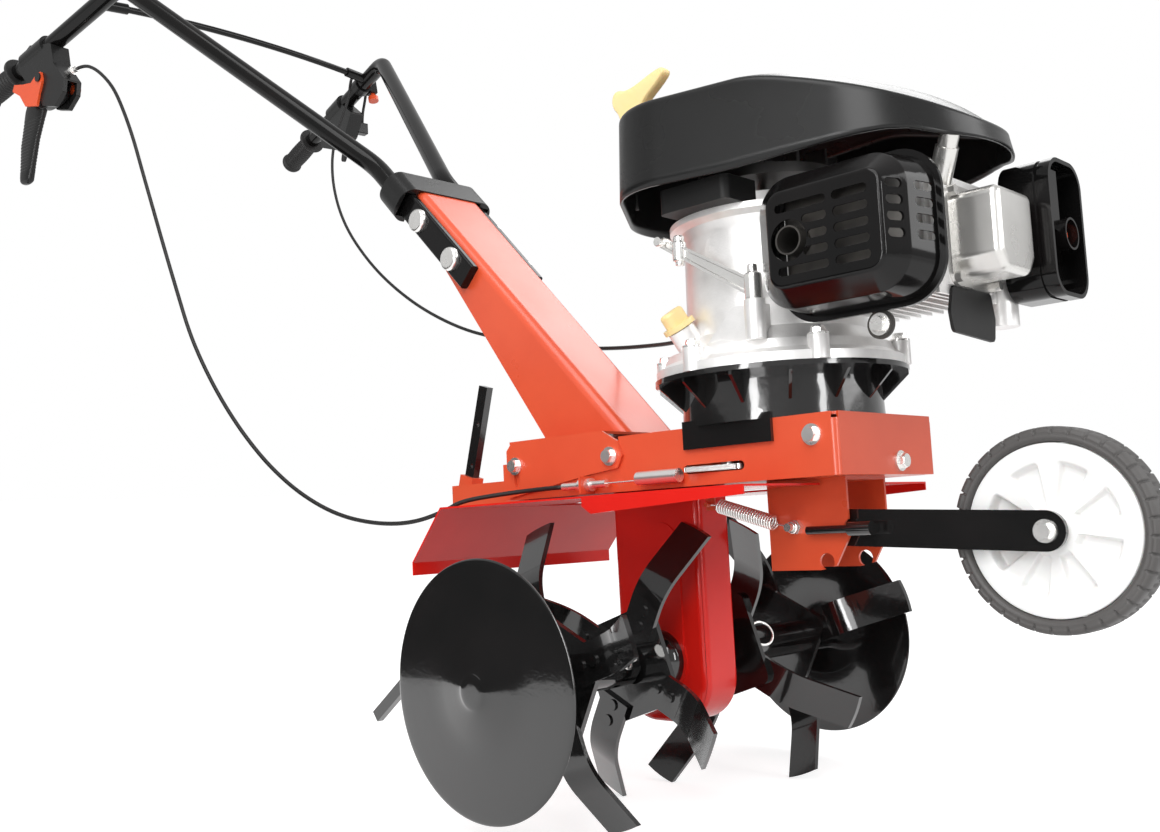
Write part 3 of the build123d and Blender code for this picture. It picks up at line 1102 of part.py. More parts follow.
def muffler():
    """Muffler can with its outlet, inside the guard, on a short port from the cylinder."""
    x0, x1 = MUFFLER_X
    back = MUFFLER_Y[1]
    can = fillet(block(x0, x1, MUFFLER_Y[0], back, *MUFFLER_Z).edges(), 7)
    mouth = GUARD_SECTIONS[0][0] - 1
    outlet = rod_y(OUTLET_RADIUS, mouth, MUFFLER_Y[0] + 10, *OUTLET_AT)
    port = rod_y(14, back - 10, -56, HEAD_X - 30, CYLINDER_Z)
    z0, z1 = GUARD_SECTIONS[2][2]
    hanger = block(HEAD_X - 60, HEAD_X - 2, back, back + 3, z0 - 3, z1 + 3)
    lug = rod_y(13, back, back + 3, *MUFFLER_LUG)
    bore = rod_y(OUTLET_RADIUS - 1.5, mouth - 1, MUFFLER_Y[0] + 26, *OUTLET_AT)
    return can + outlet + port + hanger + lug - bore


def guard_solid(inset=0.0):
    """The muffler guard's outside, or its inside when set in: face, bevelled skirt and wall."""
    sections = []
    for y, (x0, x1), (z0, z1), corner in GUARD_SECTIONS:
        face = RectangleRounded(x1 - x0 - 2 * inset, z1 - z0 - 2 * inset, corner - inset)
        sections.append(side_plane(y + inset) * Pos((x0 + x1) / 2, (z0 + z1) / 2) * face)
    return loft(sections, ruled=True)


def muffler_guard():
    """Pressed guard: slotted face, bevelled skirt, wall with slots at its front end and a rolled rim."""
    y0, y1, y2 = (section[0] for section in GUARD_SECTIONS)
    outer = guard_solid()
    for y in (y1, y0):
        outer = fillet([e for e in outer.edges() if abs(e.center().Y - y) < 0.1], 5)
    (x0, x1), (z0, z1), corner = GUARD_SECTIONS[2][1:]
    middle = Pos((x0 + x1) / 2, (z0 + z1) / 2)
    rim = RectangleRounded(x1 - x0 + 10, z1 - z0 + 10, corner + 5)
    rim = rim - RectangleRounded(x1 - x0 - 3, z1 - z0 - 3, corner)
    rolled = plate_xz(middle * rim, y2 - 4, y2)
    cuts = []
    for row, (x, length) in enumerate(LEFT_SLOTS):
        for at, size in ((x, length), RIGHT_SLOT):
            slot = Pos(at, SLOT_TOP - SLOT_STEP * row) * SlotOverall(size, SLOT_HEIGHT)
            cuts.append(plate_xz(slot, y0 - 2, y0 + 8))
    for row in range(4):
        z = SLOT_TOP + 1.5 - SLOT_STEP * row
        cuts.append(plate_yz(Pos((y0 + y1) / 2, z) * SlotOverall(16, SLOT_HEIGHT), x1 - 22, x1))
        cuts.append(plate_yz(Pos(y2 - 18, z) * SlotOverall(24, SLOT_HEIGHT), x1 - 9, x1 + 3))
    cuts.append(rod_y(OUTLET_HOLE, y0 - 2, y0 + 8, *OUTLET_AT))
    return outer - guard_solid(GUARD_WALL) + rolled - cuts


def cover_face(inset=0.0):
    """Plan of the recoil cover: round over the flywheel, drawn out forward over the cylinder."""
    circles = (Pos(ENGINE_X, 0) * Circle(COVER_REAR_RADIUS - inset)).edges()
    circles += (Pos(COVER_FRONT, COVER_FRONT_Y) * Circle(COVER_FRONT_RADIUS - inset)).edges()
    return make_hull(circles)


def cover_depth(x, y):
    """How far a point lies inside the cover's plan."""
    ways = [radians(3 * k) for k in range(120)]
    rear = [COVER_REAR_RADIUS - (x - ENGINE_X) * cos(a) - y * sin(a) for a in ways]
    front = [COVER_FRONT_RADIUS - (x - COVER_FRONT) * cos(a) - (y - COVER_FRONT_Y) * sin(a) for a in ways]
    return min(max(pair) for pair in zip(rear, front))


def roof_height(x, y):
    """Height of the cover's roof: its edge falls away to the front and its middle is crowned."""
    edge = COVER_TOP - COVER_FALL * max(0.0, x - COVER_BREAK) ** 1.5
    along = min(1.0, max(0.0, (x - ENGINE_X + 57) / 170))
    crown = CROWN_REAR + (CROWN_FRONT - CROWN_REAR) * along * along * (3 - 2 * along)
    depth = cover_depth(x, y) / CROWN_REACH
    return edge + crown * (2 * depth if depth < 0 else 1 - (1 - min(depth, 1.0)) ** 2)


def under_roof(lower=0.0):
    """Everything below the cover's roof, or below a surface that much lower."""
    rows = [[(x, y, roof_height(x, y) - lower) for y in range(-180, 181, 20)] for x in range(-20, 421, 20)]
    return extrude(Face.make_surface_from_array_of_points(rows), amount=160, dir=(0, 0, -1))


def recoil_cover():
    """Moulded cover over flywheel and starter: steep sides, a crowned top that falls to the front."""
    high = COVER_TOP + CROWN_FRONT + 10
    body = loft([Pos(0, 0, COVER_LOW) * cover_face(), Pos(0, 0, high) * cover_face(COVER_DRAFT)])
    hollow = loft([Pos(0, 0, COVER_LOW - 1) * cover_face(COVER_WALL),
                   Pos(0, 0, high) * cover_face(COVER_DRAFT + COVER_WALL)])
    arch = plate_xz(outline([(205, COVER_LOW - 1), (205, COVER_LOW), (360, COVER_LOW + 11),
                             (385, COVER_LOW + 4),
                             (430, COVER_LOW + 4), (430, COVER_LOW - 1)]), -200, 200)
    posts = [Pos(ENGINE_X, 0, 0) * Rot(0, 0, a) * rod_z(5, CASE_FLANGE[1], COVER_TOP - 1, CASE_RADIUS + 4, 0)
             for a in POST_TURNS]
    rope = rod_z(ROPE_RADIUS + GAP, COVER_TOP - 20, COVER_TOP + 30, *STARTER_AT)
    return (body & under_roof()) - (hollow & under_roof(COVER_WALL)) - arch + posts - rope


def starter_handle():
    """Pull handle standing on the cover, with the straight run of its rope below."""
    grip_face = outline([(-11, 0), (11, 0), (14, 23), (50, 47), (52, 55), (44, 59), (0, 45), (-16, 51),
                         (-23, 43), (-22, 31), (-13, 21)], 3)
    seat = roof_height(*STARTER_AT)
    plane = Plane(origin=(STARTER_AT[0], STARTER_AT[1] + 7, seat + STARTER_RISE), x_dir=(1, 0, 0),
                  z_dir=(0, -1, 0))
    rope = rod_z(ROPE_RADIUS, COVER_LOW + 8, seat + STARTER_RISE + 4, *STARTER_AT)
    return plane * extrude(grip_face, amount=14) + rope


def fuel_tank():
    """Moulded tank under the rear of the cover, held against the crankcase."""
    tank = block(TANK_X[0], TANK_X[1], -124, -60, CASE_FLANGE[1], COVER_LOW + 4)
    return fillet(tank.edges().filter_by(Axis.Z), 8) - rod_z(CASE_RADIUS - 8 + GAP, 400, 600, ENGINE_X, 0)


def carburettor():
    """Carburettor beside the head, with its float bowl, between the inlet and the air filter."""
    body = block(HEAD_X + 4, FILTER_REAR, 56, 84, CYLINDER_Z - 26, CYLINDER_Z + 14)
    bowl = rod_z(16, CYLINDER_Z - 74, CYLINDER_Z - 30, HEAD_X + 18, 73)
    neck = rod_z(8, CYLINDER_Z - 40, CYLINDER_Z - 20, HEAD_X + 18, 73)
    return body + bowl + neck


def air_filter():
    """Open-faced filter pan with a thin rim, a raised box inside and a round collar for the primer."""
    middle = Pos(*FILTER_AT)
    width, height = FILTER_SIZE
    lip = 2 * FILTER_LIP
    shell = plate_yz(middle * RectangleRounded(width, height, FILTER_CORNER), FILTER_REAR, FILTER_FRONT)
    step = plate_yz(middle * (RectangleRounded(width, height, FILTER_CORNER)
                              - RectangleRounded(width - lip, height - lip, FILTER_CORNER - FILTER_LIP)),
                    FILTER_FRONT - 15, FILTER_FRONT - 11)
    pan = plate_yz(middle * RectangleRounded(width - 2 * lip, height - 2 * lip, FILTER_CORNER - lip),
                   FILTER_FRONT - PAN_DEPTH, FILTER_FRONT + 1)
    box = block(FILTER_FRONT - PAN_DEPTH - 1, FILTER_FRONT - 6, FILTER_AT[0] - width / 2 + lip - 1,
                FILTER_AT[0] - 4,
                FILTER_AT[1] - 2, FILTER_AT[1] + height / 2 - lip - 6)
    collar = rod_x(PRIMER_RADIUS + GAP + 2, FILTER_FRONT - PAN_DEPTH - 1, FILTER_FRONT + 2, *PRIMER_AT)
    well = rod_x(PRIMER_RADIUS + GAP, FILTER_FRONT - PAN_DEPTH - 4, FILTER_FRONT + 3, *PRIMER_AT)
    return shell - step - pan + box + collar - well


def primer_bulb():
    """Soft red bulb pressed to prime the engine."""
    bulb = Pos(0, 0, 9) * Cylinder(PRIMER_RADIUS, 18)
    bulb = fillet(bulb.edges().group_by(Axis.Z)[-1], PRIMER_RADIUS - 2)
    return Pos(FILTER_FRONT - PAN_DEPTH, *PRIMER_AT) * Rot(0, 90, 0) * bulb


def head_shield():
    """Dark shield plate under the cylinder head."""
    face = outline([(-40, 300), (40, 296), (44, 318), (38, CYLINDER_Z - 46), (-36, CYLINDER_Z - 46),
                    (-44, 318)], 6)
    return plate_yz(face, HEAD_X + 22, HEAD_X + 25)


def governor_lever():
    """Slender silver lever rising backwards from its upright shaft beside the crankcase."""
    x, y = GOVERNOR_AT
    bar = make_hull((Pos(x, GOVERNOR_Z) * Circle(8)).edges() + (Pos(*GOVERNOR_TIP) * Circle(5)).edges())
    lever = plate_xz(bar, y - 2, y + 2)
    clamp = rod_z(GOVERNOR_SHAFT + 3, GOVERNOR_Z - 14, GOVERNOR_Z + 10, x, y)
    stud = rod_y(5, y - 10, y, *GOVERNOR_TIP)
    return lever + clamp + stud + rod_z(GOVERNOR_SHAFT, GOVERNOR_Z - 38, GOVERNOR_Z + 12, x, y)


def engine_bolts():
    """Sump bolts through the adapter's flange."""
    return [Pos(ENGINE_X, 0, 0) * Rot(0, 0, a) * Pos(FLANGE_RADIUS - 7, 0, SUMP_TOP) * hex_bolt()
            for a in lug_angles()] + [bolt_y(MUFFLER_LUG[0], MUFFLER_Y[1], MUFFLER_LUG[1], 0)]


# Controls

def tube_point(at, side):
    """Point on the upper tube at a distance behind its apex, and the tube's direction there."""
    a = Vector(HANDLE_APEX[0], side * HANDLE_APEX[1], HANDLE_APEX[2])
    b = Vector(HANDLE_END[0], side * HANDLE_END[1], HANDLE_END[2])
    way = (b - a).normalized()
    return a + way * at, way


def control_plane(side):
    """Upright plane through the upper tube, facing right: X forward along the tube, Y up from zero."""
    point, way = tube_point(CONTROL_AT, side)
    forward = Vector(-way.X, -way.Y, 0).normalized()
    return Plane(origin=(point.X, point.Y, 0), x_dir=forward, z_dir=forward.cross(Vector(0, 0, 1)))


def slab(plane, points, low, high, corner=0.0):
    """A plate drawn on a plane, between two distances along the plane's normal."""
    return extrude(plane * Pos(0, 0, low) * outline(points, corner), amount=high - low)


def tube_bore(side, extra):
    """The upper tube's outside as a cylinder, grown by extra."""
    point, way = tube_point(CONTROL_AT, side)
    return Plane(origin=point, z_dir=way) * Cylinder(TUBE_RADIUS + extra, 400)


def clamp_ring(side, at, length):
    """Clamp collar round the upper tube."""
    point, way = tube_point(at, side)
    return Plane(origin=point, z_dir=way) * Cylinder(TUBE_RADIUS + CLAMP_WALL, length)


def clutch_bracket():
    """Clamp round the right tube with a body below it and two cheeks that carry the clutch lever."""
    plane = control_plane(-1)
    body = slab(plane, CLUTCH_BODY, -15, 15, 3)
    slot = slab(plane, CLUTCH_SLOT, -LEVER_HALF - 0.8, LEVER_HALF + 0.8)
    pin = plane * Pos(*CLUTCH_PIVOT, 0) * Cylinder(LEVER_PIN, 30)
    ring = clamp_ring(-1, CONTROL_AT + 66, 62)
    screws = [plane * Pos(x, z, -15) * Cylinder(4, 6) for x, z in CLUTCH_SCREWS]
    latch_pin = plane * Pos(*LATCH_PIVOT, 17) * Cylinder(LEVER_PIN, 6)
    latch_head = plane * Pos(*LATCH_PIVOT, 19 + GAP + 1) * Cylinder(LEVER_PIN + 3, 2)
    seats = [adjuster_at() * Pos(0, 0, 9) * Cylinder(5 + FIT, 18),
             plane * Pos(*BUTTON_AT, -15) * Cylinder(BUTTON_RADIUS + GAP, 16)]
    return body + ring - slot - tube_bore(-1, FIT) - seats + pin + screws + latch_pin + latch_head


def clutch_lever():
    """Long hand lever hanging from the bracket's pin."""
    plane = control_plane(-1)
    hub = [(-16, 846), (-16, 858), (-6, 864), (5, 858), (6, 846), (-4, 840), (-40, 836), (-52, 842),
           (-58, 860), (-40, 858)]
    lever = slab(plane, hub, -LEVER_HALF, LEVER_HALF, 2)
    blade_part = slab(plane, LEVER_BLADE, -LEVER_HALF, LEVER_HALF, 4)
    return lever + blade_part - plane * Pos(*CLUTCH_PIVOT, 0) * Cylinder(LEVER_PIN + RUN, 60)


def clutch_button():
    """Red push button in the bracket's inner cheek."""
    return control_plane(-1) * Pos(*BUTTON_AT, -15) * Cylinder(BUTTON_RADIUS, 8)


def clutch_latch():
    """Red latch that straps over the lever's root, on its own pin outside the bracket."""
    plane = control_plane(-1)
    outer = slab(plane, LATCH_OUTLINE, 15 + GAP, 19, 2)
    return outer - plane * Pos(*LATCH_PIVOT, 0) * Cylinder(LEVER_PIN + RUN, 60)


def throttle_housing():
    """Moulded throttle control clamped on the left tube."""
    plane = control_plane(1)
    body = slab(plane, THROTTLE_BODY, -13, 13, 3)
    ring = clamp_ring(1, CONTROL_AT + 8, 46)
    pin = plane * Pos(*THROTTLE_PIVOT, -16) * Cylinder(LEVER_PIN, 12)
    ferrule = slab(plane, [(24, 888), (40, 888), (40, 908), (24, 908)], -31, -12, 2)
    return body + ring - tube_bore(1, FIT) + pin + ferrule


def throttle_lever():
    """Thumb lever on the inner side of the throttle housing."""
    x, z = THROTTLE_PIVOT
    bar = make_hull((Pos(x, z) * Circle(11)).edges() + (Pos(x - 20, z - 34) * Circle(6)).edges())
    lever = extrude(control_plane(1) * Pos(0, 0, -13 - GAP - 5) * bar, amount=5)
    return lever - control_plane(1) * Pos(x, z, -16) * Cylinder(LEVER_PIN + RUN, 40)


def stop_plane():
    """Plane at the stop switch: Z across the left tube, up and back, X outwards beside it."""
    point, way = tube_point(STOP_AT, 1)
    outwards = way.cross(Vector(0, 0, 1)).normalized()
    return Plane(origin=point, x_dir=outwards, z_dir=outwards.cross(way))


def stop_switch():
    """Black collar of the stop switch, clamped on the left tube."""
    point, way = tube_point(STOP_AT, 1)
    collar = Plane(origin=point, z_dir=way) * Cylinder(TUBE_RADIUS + 3, 16)
    body = stop_plane() * Pos(TUBE_RADIUS + 7, 0, 0) * Box(14, 16, 24)
    return collar + body - stop_plane() * Pos(TUBE_RADIUS + 8, 0,
                                              0) * Cylinder(4 + GAP, 40) - tube_bore(1, FIT)


def stop_knob():
    """Red push knobs at both ends of the stop switch's pin."""
    pin = Cylinder(4, 46) + [Pos(0, 0, s * 22) * Cylinder(9, 8) for s in (-1, 1)]
    return stop_plane() * Pos(TUBE_RADIUS + 8, 0, 0) * pin


# Cables


def cord(points, radius, name):
    """Tube along straight runs with the largest tangent arcs that the runs allow."""
    route = [Vector(*p) for p in points]
    radii = []
    for before, here, after in zip(route, route[1:], route[2:]):
        turn = radians((here - before).get_angle(after - here))
        run = min((here - before).length, (after - here).length)
        radii.append(0.45 * run / tan(turn / 2))
    path = FilletPolyline(*route, radius=radii)
    tube = sweep(Plane(origin=path @ 0, z_dir=path % 0) * Circle(radius), path=path)
    print(name, "radii", [round(r) for r in radii], "length", round(path.length), "volume ratio",
          round(tube.volume / (pi * radius ** 2 * path.length), 4))
    return tube


def frame_hardware():
    """Hex bolts of the frame, the stake's clamp screw, the cable's adjuster and the clutch spring."""
    reach = FRAME_HALF + GAP + SHEET
    bolts = []
    for x in (PIVOT_X, SLOT_BOLT_X):
        bolts += both_sides(bolt_y(x, -reach - FIT, PIVOT_Z, 14))
    bolts += both_sides(bolt_y(FRAME_BOLT[0], -FRAME_HALF, FRAME_BOLT[1], 12))
    bolts.append(Pos(FRAME_FRONT, *FRONT_BOLT) * Rot(0, 90, 0) * hex_bolt(10))
    near = -BRACKET_HALF - SHEET / 2
    arm_bolt = bolt_y(ARM_PIVOT[0], -near, ARM_PIVOT[1], 2 * BRACKET_HALF + SHEET + 18)
    nut = Pos(ARM_PIVOT[0], near, ARM_PIVOT[1]) * Rot(90, 0,
                                                      0) * extrude(RegularPolygon(BOLT_HEAD, 6), amount=6)
    bolts.append(arm_bolt + nut)
    x = CABLE_TAB[0]
    barrel = rod_x(ADJUSTER_RADIUS, x - 34, x + 30, CABLE_Y, CABLE_TAB[1])
    nuts = [rod_x(7, x - 8, x, CABLE_Y, CABLE_TAB[1]),
            rod_x(7, x + SHEET, x + SHEET + 6, CABLE_Y, CABLE_TAB[1])]
    wire = rod_x(1, x + 29, SPRING_TUBE[0] + 1, CABLE_Y, CABLE_TAB[1])
    tube = rod_x(7, SPRING_TUBE[0], SPRING_TUBE[1], CABLE_Y, CABLE_TAB[1] + 2)
    bolts.append(barrel + nuts + wire + tube)
    return bolts


def nodes():
    """Every piece of the tiller by name, in the level frame."""
    made = {
        "main_frame": main_frame(), "tail_beam": tail_beam(), "fender": fender(),
            "wheel_bracket": wheel_bracket(),
        "bracket_spring": bracket_spring(), "gear_case": gear_case(), "axle_seals": axle_seals(),
        "axle_bearings": axle_bearings(), "input_shaft": input_shaft(), "crankshaft": crankshaft(),
        "drive_belt": drive_belt(), "idler_arm": idler_arm(), "tine_shaft": tine_shaft(),
        "plant_discs": [disc(-1), disc(1)], "hitch_pins": hitch_pins(), "wheel_arm": wheel_arm(),
        "wheel_axle": wheel_axle(), "wheel_rim": wheel_rim(), "tyre": tyre(), "drag_stake": drag_stake(),
        "column": column(), "column_cap": column_cap(), "handlebar_right": handlebar(-1),
            "handlebar_left": handlebar(1),
        "grips": [grip(-1), grip(1)], "cross_brace": cross_brace(), "handle_bolts": handle_bolts(),
        "clutch_bracket": clutch_bracket(), "clutch_lever": clutch_lever(), "clutch_latch": clutch_latch(),
            "clutch_button": clutch_button(),
        "throttle_housing": throttle_housing(), "throttle_lever": throttle_lever(),
            "stop_knob": stop_knob(), "stop_switch": stop_switch(),
        "engine_adapter": adapter(), "engine_sump": sump(), "oil_cap": oil_cap(), "crankcase": crankcase(),
        "cylinder_head": cylinder_head(), "valve_cover": valve_cover(), "spark_plug": spark_plug(),
            "muffler": muffler(),
        "muffler_guard": muffler_guard(), "recoil_cover": recoil_cover(),
            "starter_handle": starter_handle(),
        "fuel_tank": fuel_tank(), "carburettor": carburettor(), "air_filter": air_filter(),
            "primer_bulb": primer_bulb(),
        "head_shield": head_shield(), "governor_lever": governor_lever(), "engine_bolts": engine_bolts(),
        "frame_hardware": frame_hardware(), "clutch_cable": cord(CLUTCH_ROUTE, CABLE_RADIUS,
                                                                 "clutch cable"),
        "throttle_cable": cord(THROTTLE_ROUTE, CABLE_RADIUS, "throttle cable")}
    for side, name in ((-1, "right"), (1, "left")):
        made["tine_set_inner_" + name] = tine_set(side, INNER_PLATE_Y, INNER_TUBE, SHAFT_RADIUS + FIT, 52,
                                                  SHAFT_HALF,
                                                  TINE_PHASE, -1)
        made["tine_set_outer_" + name] = tine_set(side, OUTER_PLATE_Y, OUTER_TUBE, INNER_TUBE + FIT, 88,
                                                  DISC_SEAT, TINE_PHASE - 45, 1)
    return made


def placed(piece, stand):
    """A piece, or a group of separate solids, moved to where it stands."""
    solids = piece if isinstance(piece, list) else [piece]
    moved = [stand * one for one in solids]
    return moved[0] if len(moved) == 1 else Compound(children=moved)


def main():
    os.makedirs("parts", exist_ok=True)
    made = nodes()
    tilt = Rot(0, -PITCH, 0)
    tips = [placed(made[name], tilt).bounding_box().min.Z for name in made if name.startswith("tine_set")]
    stand = Pos(AXLE_FORWARD, 0, -min(tips)) * tilt
    print("axle height", round(-min(tips), 3), "axle forward", AXLE_FORWARD)
    cords = ("clutch_cable", "throttle_cable")
    boxes = [placed(piece, stand).bounding_box() for name, piece in made.items() if name not in cords]
    print("x", round(min(b.min.X for b in boxes), 2), round(max(b.max.X for b in boxes), 2), "z",
          round(min(b.min.Z for b in boxes), 3), round(max(b.max.Z for b in boxes), 2))
    for name, piece in made.items():
        export_step(placed(piece, stand), f"parts/{name}.step")


main()
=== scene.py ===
# %% [markdown]
# # A walk-behind garden tiller
# The machine is a folded red frame with an engine on top, a gear leg below it, four sets of bent tines, two round
# discs, a small white wheel on an arm and two bent handlebars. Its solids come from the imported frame, in metres,
# and this lesson dresses them: it gives each one a finish, and it makes again, as smooth surfaces, the pieces that a
# plain solid cannot show, such as the tyre's tread, the moulded cover or the cables.

# %% Load the frame
import bpy
import bmesh
import numpy as np
from math import radians
from mathutils import Matrix, Vector


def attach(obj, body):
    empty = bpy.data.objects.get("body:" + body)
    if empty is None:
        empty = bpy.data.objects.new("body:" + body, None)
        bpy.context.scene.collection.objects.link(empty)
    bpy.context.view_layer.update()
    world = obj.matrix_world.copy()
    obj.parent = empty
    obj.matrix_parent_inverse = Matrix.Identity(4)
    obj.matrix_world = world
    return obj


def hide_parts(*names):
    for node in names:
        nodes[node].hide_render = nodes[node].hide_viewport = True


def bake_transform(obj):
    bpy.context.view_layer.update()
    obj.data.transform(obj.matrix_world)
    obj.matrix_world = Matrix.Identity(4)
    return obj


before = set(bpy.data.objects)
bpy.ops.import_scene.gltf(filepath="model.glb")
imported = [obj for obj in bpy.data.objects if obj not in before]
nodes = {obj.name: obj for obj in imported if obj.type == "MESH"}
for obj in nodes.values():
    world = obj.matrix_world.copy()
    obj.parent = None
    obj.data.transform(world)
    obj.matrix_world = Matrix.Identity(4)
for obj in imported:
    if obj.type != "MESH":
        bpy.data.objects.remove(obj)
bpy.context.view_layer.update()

# %% [markdown]
# ## One frame for everything
# The solids were drawn level, with zero at the middle of the tine axle, and then stood nose-up by four degrees on the
# tines and the drag stake. Each measure below is written in that level frame, in millimetres, as a maker would read it
# off a drawing, and one function turns it into the standing frame in metres.

# %% From the level drawing to the standing machine
NOSE_UP = radians(4.0)
AXLE_FORWARD, AXLE_HEIGHT = 361.2, 149.392


def stand(points):
    """Level millimetres to standing metres: turn by the nose-up angle in the X-Z plane, then lift onto the ground."""
    p = np.asarray(points, float)
    x, y, z = p[..., 0], p[..., 1], p[..., 2]
    c, s = np.cos(NOSE_UP), np.sin(NOSE_UP)
    return np.stack([x * c - z * s + AXLE_FORWARD, y, x * s + z * c + AXLE_HEIGHT], -1) / 1000


def lean(vectors):
    """The same turn for a direction, with no lift."""
    return stand(vectors) * 1000 - stand(np.zeros(3)) * 1000


print("axle stands at", np.round(stand((0, 0, 0)), 4))

# %% [markdown]
# ## The camera
# The photograph looks at the machine from its front right, from below the height of the engine. Angles and distance
# were fitted to the wheel, the discs and the frame's corners. The lens follows from the same fit: about 37.7 mm on a
# 36 mm wide sensor, with no shift.

# %% Camera
AZIMUTH, ELEVATION, ROLL = 43.69, -5.429, -2.911
LENS, SENSOR = 37.681, 36.0
CAMERA_AT, FARTHEST = (860.51, -1036.08, 141.3), 100.0


def camera_axes(azimuth, elevation, roll):
    """Right, up and back of a camera: back points from machine to camera, and right and up turn by the roll."""
    a, e, r = np.radians([azimuth, elevation, roll])
    back = np.array([np.sin(a) * np.cos(e), -np.cos(a) * np.cos(e), np.sin(e)])
    right = np.array([np.cos(a), np.sin(a), 0.0])
    up = np.cross(back, right)
    return np.cos(r) * right + np.sin(r) * up, np.cos(r) * up - np.sin(r) * right, back


right, up, back = (lean(v) for v in camera_axes(AZIMUTH, ELEVATION, ROLL))
camera_data = bpy.data.cameras.new("camera")
camera_data.lens = LENS
camera_data.sensor_width = SENSOR
camera_data.clip_end = FARTHEST
camera = bpy.data.objects.new("camera", camera_data)
bpy.context.scene.collection.objects.link(camera)
place = np.eye(4)
place[:3, 0], place[:3, 1], place[:3, 2], place[:3, 3] = right, up, back, stand(CAMERA_AT)
camera.matrix_world = Matrix(place.tolist())
bpy.context.scene.camera = camera
print("camera at", np.round(stand(CAMERA_AT), 3))

# %% [markdown]
# ## Surfaces from arrays
# A new piece is a grid of points that a formula gives for two parameters. This helper turns such a grid into a mesh:
# each cell becomes a four-sided face, a grid that runs round a piece is joined to its own start, and an end row can be
# closed with one face.

# %% Grid to mesh
SAME_POINT = 1e-6


def skin(name, grid, round_u=False, round_v=False, cap_u=(False, False)):
    """A mesh through grid[u, v]: quads between neighbours, joined where a direction runs round, ends closed by caps."""
    nu, nv = grid.shape[:2]
    index = np.arange(nu * nv).reshape(nu, nv)
    rows = np.vstack([index, index[:1]]) if round_u else index
    cells = np.hstack([rows, rows[:, :1]]) if round_v else rows
    quads = np.stack([cells[:-1, :-1], cells[1:, :-1], cells[1:, 1:], cells[:-1, 1:]], -1).reshape(-1, 4)
    faces = quads.tolist()
    faces += [index[0].tolist()] * cap_u[0] + [index[-1].tolist()] * cap_u[1]
    mesh = bpy.data.meshes.new(name)
    mesh.from_pydata(grid.reshape(-1, 3).tolist(), [], faces)
    shape = bmesh.new()
    shape.from_mesh(mesh)
    bmesh.ops.remove_doubles(shape, verts=shape.verts, dist=SAME_POINT)
    bmesh.ops.recalc_face_normals(shape, faces=shape.faces)
    shape.to_mesh(mesh)
    shape.free()
    mesh.shade_smooth()
    piece = bpy.data.objects.new(name, mesh)
    bpy.context.scene.collection.objects.link(piece)
    return piece


def whole_turn(count):
    """Angles of one turn, without repeating the first."""
    return np.linspace(0, 2 * np.pi, count, endpoint=False)


def soft_step(x):
    """0 below 0, 1 above 1, and a smooth rise between."""
    t = np.clip(x, 0, 1)
    return t * t * (3 - 2 * t)


def squared_off(values, power):
    """Values from -1 to 1 raised to a power with their sign kept: below one, it makes a circle a rounded box."""
    return np.sign(values) * np.abs(values) ** power


def turned(profile, centre, axis, count=96):
    """Surface of revolution: profile rows are (radius, distance along the axis), carried round centre."""
    axis = np.asarray(axis, float) / np.linalg.norm(axis)
    side = np.cross(axis, (0.0, 0.0, 1.0) if abs(axis[2]) < 0.9 else (1.0, 0.0, 0.0))
    side = side / np.linalg.norm(side)
    third = np.cross(axis, side)
    profile = np.asarray(profile, float)
    t = whole_turn(count)[:, None, None]
    r, h = profile[None, :, :1], profile[None, :, 1:]
    return np.asarray(centre, float) + r * (np.cos(t) * side + np.sin(t) * third) + h * axis


def rounded(points, steps=6, share=0.45):
    """A profile with its inner corners replaced by quadratic arcs that start at a share of each neighbouring run."""
    p = np.asarray(points, float)
    before, here, after = p[:-2], p[1:-1], p[2:]
    t = np.linspace(0, 1, steps)[None, :, None]
    a = here + (before - here) * share
    b = here + (after - here) * share
    arcs = (1 - t) ** 2 * a[:, None] + 2 * t * (1 - t) * here[:, None] + t ** 2 * b[:, None]
    return np.vstack([p[:1], arcs.reshape(-1, p.shape[1]), p[-1:]])


print("helpers ready")

# %% [markdown]
# ## Shared effects
# Three effects return on many finishes. Paint and plastic are never quite flat, so a fine grain feeds a bump. Their
# shine differs from spot to spot, so a slow cloud of noise moves the roughness. And dust, polish and moulding leave
# a faint change of tone. Each is a node group with named inputs, built once and set anew in each material.

# %% Node groups
FINER_GRAIN, FINER_SHARE = 3.1, 0.33
CLOUD_DETAIL, CLOUD_FROM = 4.0, (0.3, 0.7)
TONE_DETAIL, TONE_FROM = 6.0, (0.35, 0.75)


def new_group(name, inputs, outputs):
    """An empty shader node group with float or colour sockets of the given names."""
    group = bpy.data.node_groups.new(name, "ShaderNodeTree")
    for title, kind, value in inputs:
        socket = group.interface.new_socket(title, in_out="INPUT", socket_type=kind)
        socket.default_value = value
    for title, kind in outputs:
        group.interface.new_socket(title, in_out="OUTPUT", socket_type=kind)
    return group, group.nodes.new("NodeGroupInput"), group.nodes.new("NodeGroupOutput")


